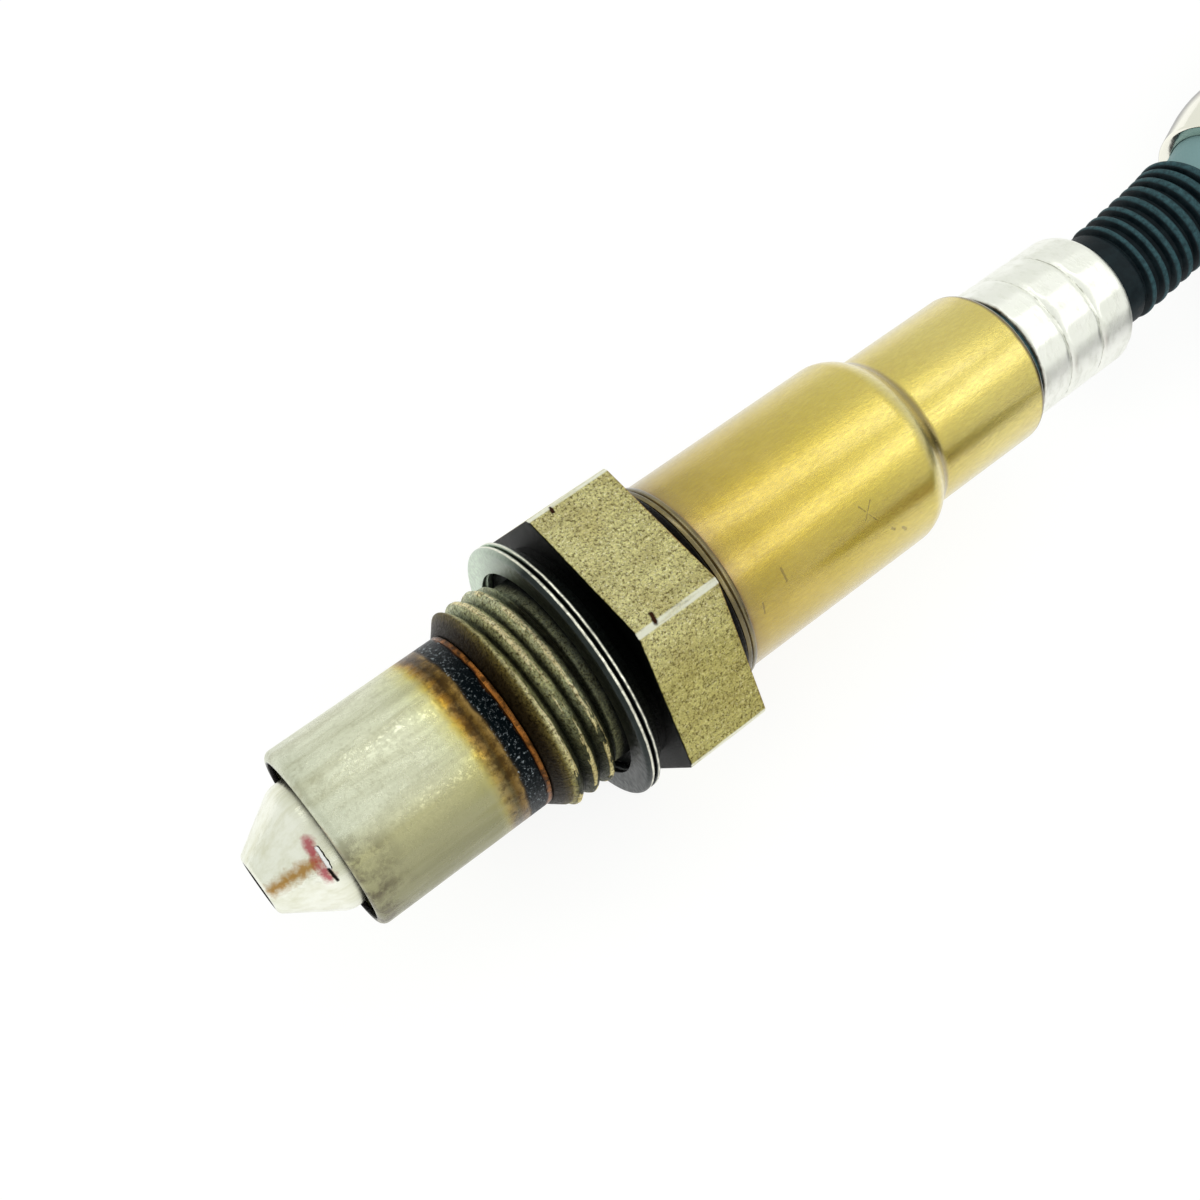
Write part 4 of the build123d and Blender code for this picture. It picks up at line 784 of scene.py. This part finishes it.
class SENSOR_OT_shell(bpy.types.Operator):
    """Turns the shell, cuts its thread and mills its hexagon"""

    bl_idname = "sensor.shell"
    bl_label = "Shell"

    def execute(self, context):
        sizes = context.scene.sensor_sizes
        front, rear = span("sensor_shell", 0)
        flats = span("sensor_shell", 2)[1]
        # Places along the axis, and then radii.
        shoulder, thread_rear, run_out = -2.95, 1.95, 2.4
        boss, neck, hexagon, collar_rear = 4.30, 5.3, 6.6, 14.95
        passage, bore, spigot, lead_in, undercut = 3.3, 4.65, 7.1, 7.77, 8.1
        boss_radius, neck_radius, collar, tail = 10.2, 9.6, 9.25, 8.0
        bm = lathe([
            (front, passage, 0), (front, spigot, 0.15), (shoulder, spigot, 0), (shoulder, lead_in, 0.12),
            (-thread_rear, THREAD_RADIUS, 0.1), (thread_rear, THREAD_RADIUS, 0), (run_out, undercut, 0),
            (boss, undercut, 0), (boss, boss_radius, 0.2), (neck, boss_radius, 0.25),
            (neck, neck_radius, 0.1), (hexagon, neck_radius, 0), (hexagon, collar, 0),
            (collar_rear, collar, 0.3), (collar_rear, tail, 0), (rear, tail, 0.2), (rear, bore, 0.3),
            (shoulder, bore, 0), (shoulder, passage, 0)], sizes.steps)
        self.cut_thread(bm, sizes)
        self.mill_hexagon(bm, sizes, flats)
        finish_piece("threaded_shell", bm, blasted_shell_steel(), ["sensor_shell"], crease=40)
        return {"FINISHED"}

    def cut_thread(self, bm, sizes):
        """Divides the plain thread into fine rows, and lowers them into a worn right-hand thread."""
        pitch, depth = sizes.thread_pitch / MM, sizes.thread_depth / MM
        front, rear, under = -2.9, 2.45, 7.9
        rows = [e for e in bm.edges if all(hypot(v.co.y, v.co.z) > under * MM for v in e.verts)
                and all(-3.0 * MM < v.co.x < 2.5 * MM for v in e.verts)
                and abs(e.verts[0].co.x - e.verts[1].co.x) > 0.3 * MM]
        long_rows = [e for e in rows if abs(e.verts[0].co.x - e.verts[1].co.x) > 3 * MM]
        short_rows = [e for e in rows if e not in set(long_rows)]
        bmesh.ops.subdivide_edges(bm, edges=long_rows, cuts=84, use_grid_fill=True)
        bmesh.ops.subdivide_edges(bm, edges=short_rows, cuts=12, use_grid_fill=True)
        facing, start = radians(114), -0.15
        rise = bm.verts.layers.float.new("rise")
        for vert in bm.verts:
            x, y, z = (c / MM for c in vert.co)
            radius = hypot(y, z)
            if not (front < x < rear and radius > under):
                continue
            # How far this place is from the nearest crest, and what wear and knocks have taken.
            turn = (atan2(z, y) - facing) / tau
            away = (x - start - pitch * turn) % pitch
            away = min(away, pitch - away)
            wear = 0.05 * noise.noise(Vector((x * 0.8, y * 0.8, z * 0.8)))
            knock = max(0.0, noise.noise(Vector((x * 1.7 + 9, y * 1.7, z * 1.7))) - 0.42) * 0.7
            cut = depth * min(1.0, max(0.0, away + wear) / (pitch / 2)) ** 1.7
            fade = min(1.0, max(0.0, (x + 2.3) / 0.5))
            target = THREAD_RADIUS - cut * fade - max(0.0, wear) * fade - (knock if cut < 0.2 else 0.0)
            new = min(radius, target)
            vert[rise] = max(0.0, 1 - cut / depth) * fade if x < 2.1 else 0.0
            vert.co.y *= new / radius
            vert.co.z *= new / radius

    def mill_hexagon(self, bm, sizes, flats):
        """A six-sided prism on the shell, with a turned strip on each corner."""
        front, length, edge_break = 6.15, 7.4, 0.07
        turned = Matrix.Translation((front * MM, 0, 0)) @ Matrix.Rotation(pi / 2, 4, "Y")
        made = bmesh.ops.create_circle(
            bm, cap_ends=True, segments=6, radius=flats / cos(pi / 6) * MM, matrix=turned)
        cap = made["verts"][0].link_faces[0]
        grown = bmesh.ops.extrude_face_region(bm, geom=[cap], use_keep_orig=True)
        far = [g for g in grown["geom"] if isinstance(g, bmesh.types.BMVert)]
        bmesh.ops.translate(bm, verts=far, vec=(length * MM, 0, 0))
        verts = set(made["verts"]) | set(far)
        faces = list({f for v in verts for f in v.link_faces})
        bmesh.ops.recalc_face_normals(bm, faces=faces)
        long_edges = [e for e in {e for v in verts for e in v.link_edges}
                      if abs(e.verts[0].co.x - e.verts[1].co.x) > 5 * MM]
        bmesh.ops.bevel(bm, geom=long_edges, offset=sizes.corner_strip, offset_type="WIDTH",
                        segments=1, profile=0.5, affect="EDGES", material=-1)
        rims = [e for e in bm.edges if all(hypot(v.co.y, v.co.z) > 10.8 * MM for v in e.verts)
                and all((front - 0.05) * MM < v.co.x < (front + length + 0.05) * MM for v in e.verts)]
        bmesh.ops.bevel(bm, geom=rims, offset=edge_break * MM, offset_type="OFFSET", segments=2, profile=0.5,
                        affect="EDGES", material=-1)


class SENSOR_OT_gasket(bpy.types.Operator):
    """Turns the gasket, one strip folded into three layers"""

    bl_idname = "sensor.gasket"
    bl_label = "Folded gasket"

    def execute(self, context):
        front, rear = span("folded_gasket", 0)
        outer = span("folded_gasket", 1)[1]
        inner, sheet, gap = 9.2, 0.34, 0.08
        first, second = front + sheet, front + 2 * sheet + gap
        bm = lathe([
            (front, inner, 0.06), (front, outer, 0.33), (second, outer, 0.3), (second, inner + sheet, 0),
            (second + gap, inner + sheet, 0), (second + gap, outer, 0.05), (rear, outer, 0.12),
            (rear, inner, 0.33), (first + gap, inner, 0.3), (first + gap, outer - sheet, 0),
            (first, outer - sheet, 0), (first, inner, 0.05)], context.scene.sensor_sizes.steps)
        finish_piece("gasket", bm, worn_gasket_steel(), ["folded_gasket"])
        return {"FINISHED"}


class SENSOR_OT_nose(bpy.types.Operator):
    """Turns the two protection tubes of the nose"""

    bl_idname = "sensor.nose"
    bl_label = "Nose tubes"

    def execute(self, context):
        steps = context.scene.sensor_sizes.steps
        mouth, rear = span("outer_protection_tube", 0)
        outer = span("outer_protection_tube", 1)[1]
        opening, wall = 6.85, 0.45
        bm = lathe([
            (mouth, opening, 0.1), (mouth, outer, 0.66), (rear, outer, 0.1), (rear, outer - wall, 0),
            (mouth + wall, outer - wall, 0.22), (mouth + wall, opening, 0.1)], steps)
        finish_piece("outer_tube", bm, heat_tinted_nose_steel(), ["outer_protection_tube"])

        tip, flange = span("inner_protection_tube", 0)
        cone_root, radius, flange_radius, wall, hole = mouth - 1.0, 5.35, 7.1, 0.4, 1.9
        bm = lathe([
            (tip, hole, 0.06), (tip, 2.45, 0.3), (cone_root, radius, 0.5), (flange - wall, radius, 0.3),
            (flange - wall, flange_radius, 0.1), (flange, flange_radius, 0.1), (flange, radius - wall, 0),
            (cone_root + 0.16, radius - wall, 0), (tip + 0.7, 2.2, 0), (tip + 0.5, hole, 0)], steps)
        finish_piece("inner_tube", bm, polished_nickel(), ["inner_protection_tube"])
        return {"FINISHED"}


class SENSOR_OT_sleeve(bpy.types.Operator):
    """Turns the sleeve with its weld rings, shoulder and rolled end"""

    bl_idname = "sensor.sleeve"
    bl_label = "Sleeve"

    def execute(self, context):
        front, rear = span("protection_sleeve", 0)
        # The front 1.1 mm is two weld rings, a little proud of the sleeve.
        radius, tail, wall, lip = 8.65, 7.15, 0.6, 6.4
        shoulder, shoulder_end = 36.3, 38.1
        bm = lathe([
            (front, radius - wall, 0), (front, 8.95, 0.12), (front + 0.42, 9.02, 0.12),
            (front + 0.52, 8.84, 0), (front + 0.62, 9.0, 0.1), (front + 1.0, 8.9, 0.1),
            (front + 1.1, radius, 0.05), (shoulder, radius, 1.0), (shoulder_end, tail, 0.55),
            (rear, tail, 0.75), (rear, lip, 0.1), (rear - 0.6, lip, 0),
            (rear - 0.9, tail - wall, 0), (shoulder_end - 0.3, tail - wall, 0.4),
            (shoulder - 0.3, radius - wall, 0.5)], context.scene.sensor_sizes.steps)
        finish_piece("gold_sleeve", bm, gold_sleeve_steel(context.scene.sensor_colours),
                     ["protection_sleeve"])
        return {"FINISHED"}


class SENSOR_OT_collar(bpy.types.Operator):
    """Turns the crimped collar, and presses its jaw flats into each band"""

    bl_idname = "sensor.collar"
    bl_label = "Crimped collar"

    def execute(self, context):
        front, rear = span("crimp_collar", 0)
        radius, inside, lip, wall = 6.3, 5.55, 4.75, 0.7
        groove, groove_depth = 0.4, 0.24
        outline = [(front, inside, 0.1), (front, radius, 0.35)]
        for x in (front + 3.5, front + 7.4):
            outline += [(x - groove, radius, 0.25), (x, radius - groove_depth, 0.1),
                        (x + groove, radius, 0.25)]
        outline += [(rear, radius, 0.85), (rear, lip, 0.25), (rear - wall, lip, 0), (rear - wall, inside, 0)]
        bm = lathe(outline, context.scene.sensor_sizes.steps)
        rows = [e for e in bm.edges if all(hypot(v.co.y, v.co.z) > 5.9 * MM for v in e.verts)
                and abs(e.verts[0].co.x - e.verts[1].co.x) > 1.5 * MM]
        bmesh.ops.subdivide_edges(bm, edges=rows, cuts=6, use_grid_fill=True)
        for vert in bm.verts:
            x, y, z = (c / MM for c in vert.co)
            r = hypot(y, z)
            if r < inside + 0.15:
                continue
            # Eight jaws leave eight flats, shallow enough to keep the ring's corners.
            turn = (atan2(z, y) + pi / 8) % (tau / 8) - pi / 8
            flat = min(r, (radius - 0.3) / cos(turn) + 0.23)
            vert.co.y *= flat / r
            vert.co.z *= flat / r
        finish_piece("collar", bm, pale_collar_steel(), ["crimp_collar"])
        return {"FINISHED"}


class SENSOR_OT_boot(bpy.types.Operator):
    """Turns the ribbed boot straight, and bends it along its way"""

    bl_idname = "sensor.boot"
    bl_label = "Ribbed boot"

    def execute(self, context):
        sizes = context.scene.sensor_sizes
        front = span("ribbed_boot", 0)[0]
        start, flange, plug_end, inner_end = 62.25, front + 0.7, 61.65, 60.25
        socket, flange_radius, plug, neck = 3.45, 6.05, 5.5, 4.6
        valley, crest, cuff, bore = 4.2, 4.8, 3.6, 3.1
        outline = [
            (inner_end, socket, 0), (front, socket, 0), (front, flange_radius, 0.1),
            (flange, flange_radius, 0.1), (flange, plug, 0), (plug_end, plug, 0.1), (plug_end, neck, 0),
            (start + 3.55, neck, 0.25), (start + 3.75, valley, 0.1)]
        for i in range(sizes.rib_count):
            x = start + 4.57 + 1.66 * i - 0.045 * i * i
            outline += [(x - 0.5, valley, 0.12), (x - 0.3, crest, 0.22), (x + 0.3, crest, 0.22),
                        (x + 0.5, valley, 0.12)]
        last = outline[-1][0]
        outline += [(last + 0.2, valley, 0.1), (last + 0.35, cuff, 0.1)]
        outline += [(x, cuff, 0) for x in (last + 2, last + 4, last + 6, CUFF_END)]
        outline += [(x, bore, 0) for x in (*(CUFF_END - back for back in (0, 4, 8, 12)), 68, 65, inner_end)]
        bm = lathe(outline, 144)

        # The finish reads how high each place is on its rib, and 2 on the cuff.
        rise = bm.verts.layers.float.new("rise")
        for vert in bm.verts:
            height = (hypot(vert.co.y, vert.co.z) / MM - valley) / 0.58
            vert[rise] = 2.0 if vert.co.x > (last + 0.3) * MM else min(1.0, max(0.0, height))
        bend_along_boot(bm)
        bmesh.ops.recalc_face_normals(bm, faces=bm.faces[:])
        finish_piece("boot", bm, moulded_boot_rubber(context.scene.sensor_colours),
                     ["ribbed_boot"], crease=50)
        return {"FINISHED"}


class SENSOR_OT_ferrule(bpy.types.Operator):
    """Turns the bright ferrule and sets it on the boot's cuff"""

    bl_idname = "sensor.ferrule"
    bl_label = "Ferrule"

    def execute(self, context):
        front, rear, step = FERRULE_FRONT, FERRULE_REAR, FERRULE_FRONT + 3.45
        radius, end, cuff_bore, lead_bore = 4.75, 3.9, 3.65, 3.05
        bm = lathe([
            (front, cuff_bore, 0.08), (front, radius, 0.3), (front + 4.86, radius, 1.6), (rear, end, 0.35),
            (rear, lead_bore, 0.1), (step, lead_bore, 0), (step, cuff_bore, 0)], 160)
        bend_along_boot(bm)
        bmesh.ops.recalc_face_normals(bm, faces=bm.faces[:])
        finish_piece("ferrule", bm, bright_chrome(), ["hose_ferrule"])
        return {"FINISHED"}


class SENSOR_OT_inside(bpy.types.Operator):
    """Finishes the sealed pieces inside the shell and the sleeve"""

    bl_idname = "sensor.inside"
    bl_label = "Inner pieces"

    def execute(self, context):
        steatite = fired_ceramic("fired_steatite", "#E6DCC6")
        for node in ("front_ceramic_guide", "rear_ceramic_guide", "holder_upper", "holder_lower"):
            give(node, steatite)
        give("sensing_element", fired_ceramic("fired_zirconia", "#F0EBDC"))
        give("talc_seal", fired_ceramic("pressed_talc", "#D5D5CC"))
        give("holder_clamp", bright_chrome())
        give("grommet", moulded_rubber("brown_fluoro_rubber", "#5A3527", dust="#8A6A58"))
        contact = plated_contact()
        for number in range(1, 6):
            give(f"contact_spring_{number}", contact)
        for number, (name, colour) in enumerate((
            ("white", "#E8E6DF"), ("grey", "#8C8E8E"), ("black", "#202123"), ("red", "#A83228"),
            ("yellow", "#D2A93A")), start=1):
            give(f"lead_wire_{number}", moulded_plastic(f"{name}_wire_insulation", colour, 0.4))
        return {"FINISHED"}


class SENSOR_OT_connector(bpy.types.Operator):
    """Finishes the connector and the tie round the coil"""

    bl_idname = "sensor.connector"
    bl_label = "Connector and tie"

    def execute(self, context):
        give("plug_housing", moulded_plastic("black_nylon_housing", "#26282A"))
        give("plug_latch", moulded_plastic("grey_nylon_latch", "#9A9C9C"))
        give("coil_tie", moulded_plastic("black_nylon_tie", "#1C1D1E", 0.38))
        give("plug_seal", moulded_rubber("orange_silicone_seal", "#B4562A", dust="#C98A66", rough=0.5))
        give("plug_guard", moulded_rubber("black_rubber_guard", "#1F2224"))
        contact = plated_contact()
        for number in range(1, 7):
            give(f"plug_terminal_{number}", contact)
        return {"FINISHED"}


class SENSOR_PT_panel(bpy.types.Panel):
    """Lists the sensor's sizes, colours and pieces"""

    bl_idname = "SENSOR_PT_panel"
    bl_label = "Oxygen sensor"
    bl_space_type = "VIEW_3D"
    bl_region_type = "UI"
    bl_category = "Sensor"

    def draw(self, context):
        scene = context.scene
        for group in (scene.sensor_sizes, scene.sensor_colours, scene.sensor_studio):
            for key in group.bl_rna.properties.keys():
                if key not in ("rna_type", "name"):
                    self.layout.prop(group, key)
        for operator in OPERATORS:
            self.layout.operator(operator.bl_idname)


OPERATORS = (
    SENSOR_OT_studio, SENSOR_OT_lead, SENSOR_OT_shell, SENSOR_OT_gasket, SENSOR_OT_nose, SENSOR_OT_sleeve,
    SENSOR_OT_collar, SENSOR_OT_boot, SENSOR_OT_ferrule, SENSOR_OT_inside, SENSOR_OT_connector)
GROUPS = (SensorSizes, SensorColours, StudioSettings)


def register():
    for item in GROUPS + OPERATORS + (SENSOR_PT_panel,):
        bpy.utils.register_class(item)
    bpy.types.Scene.sensor_sizes = PointerProperty(type=SensorSizes)
    bpy.types.Scene.sensor_colours = PointerProperty(type=SensorColours)
    bpy.types.Scene.sensor_studio = PointerProperty(type=StudioSettings)


def unregister():
    del bpy.types.Scene.sensor_studio, bpy.types.Scene.sensor_colours, bpy.types.Scene.sensor_sizes
    for item in reversed(GROUPS + OPERATORS + (SENSOR_PT_panel,)):
        bpy.utils.unregister_class(item)


def main():
    """Builds the sensor and its studio."""
    register()
    bpy.ops.sensor.studio()
    bpy.ops.sensor.lead()
    bpy.ops.sensor.shell()
    bpy.ops.sensor.gasket()
    bpy.ops.sensor.nose()
    bpy.ops.sensor.sleeve()
    bpy.ops.sensor.collar()
    bpy.ops.sensor.boot()
    bpy.ops.sensor.ferrule()
    bpy.ops.sensor.inside()
    bpy.ops.sensor.connector()


if __name__ == "__main__":
    main()
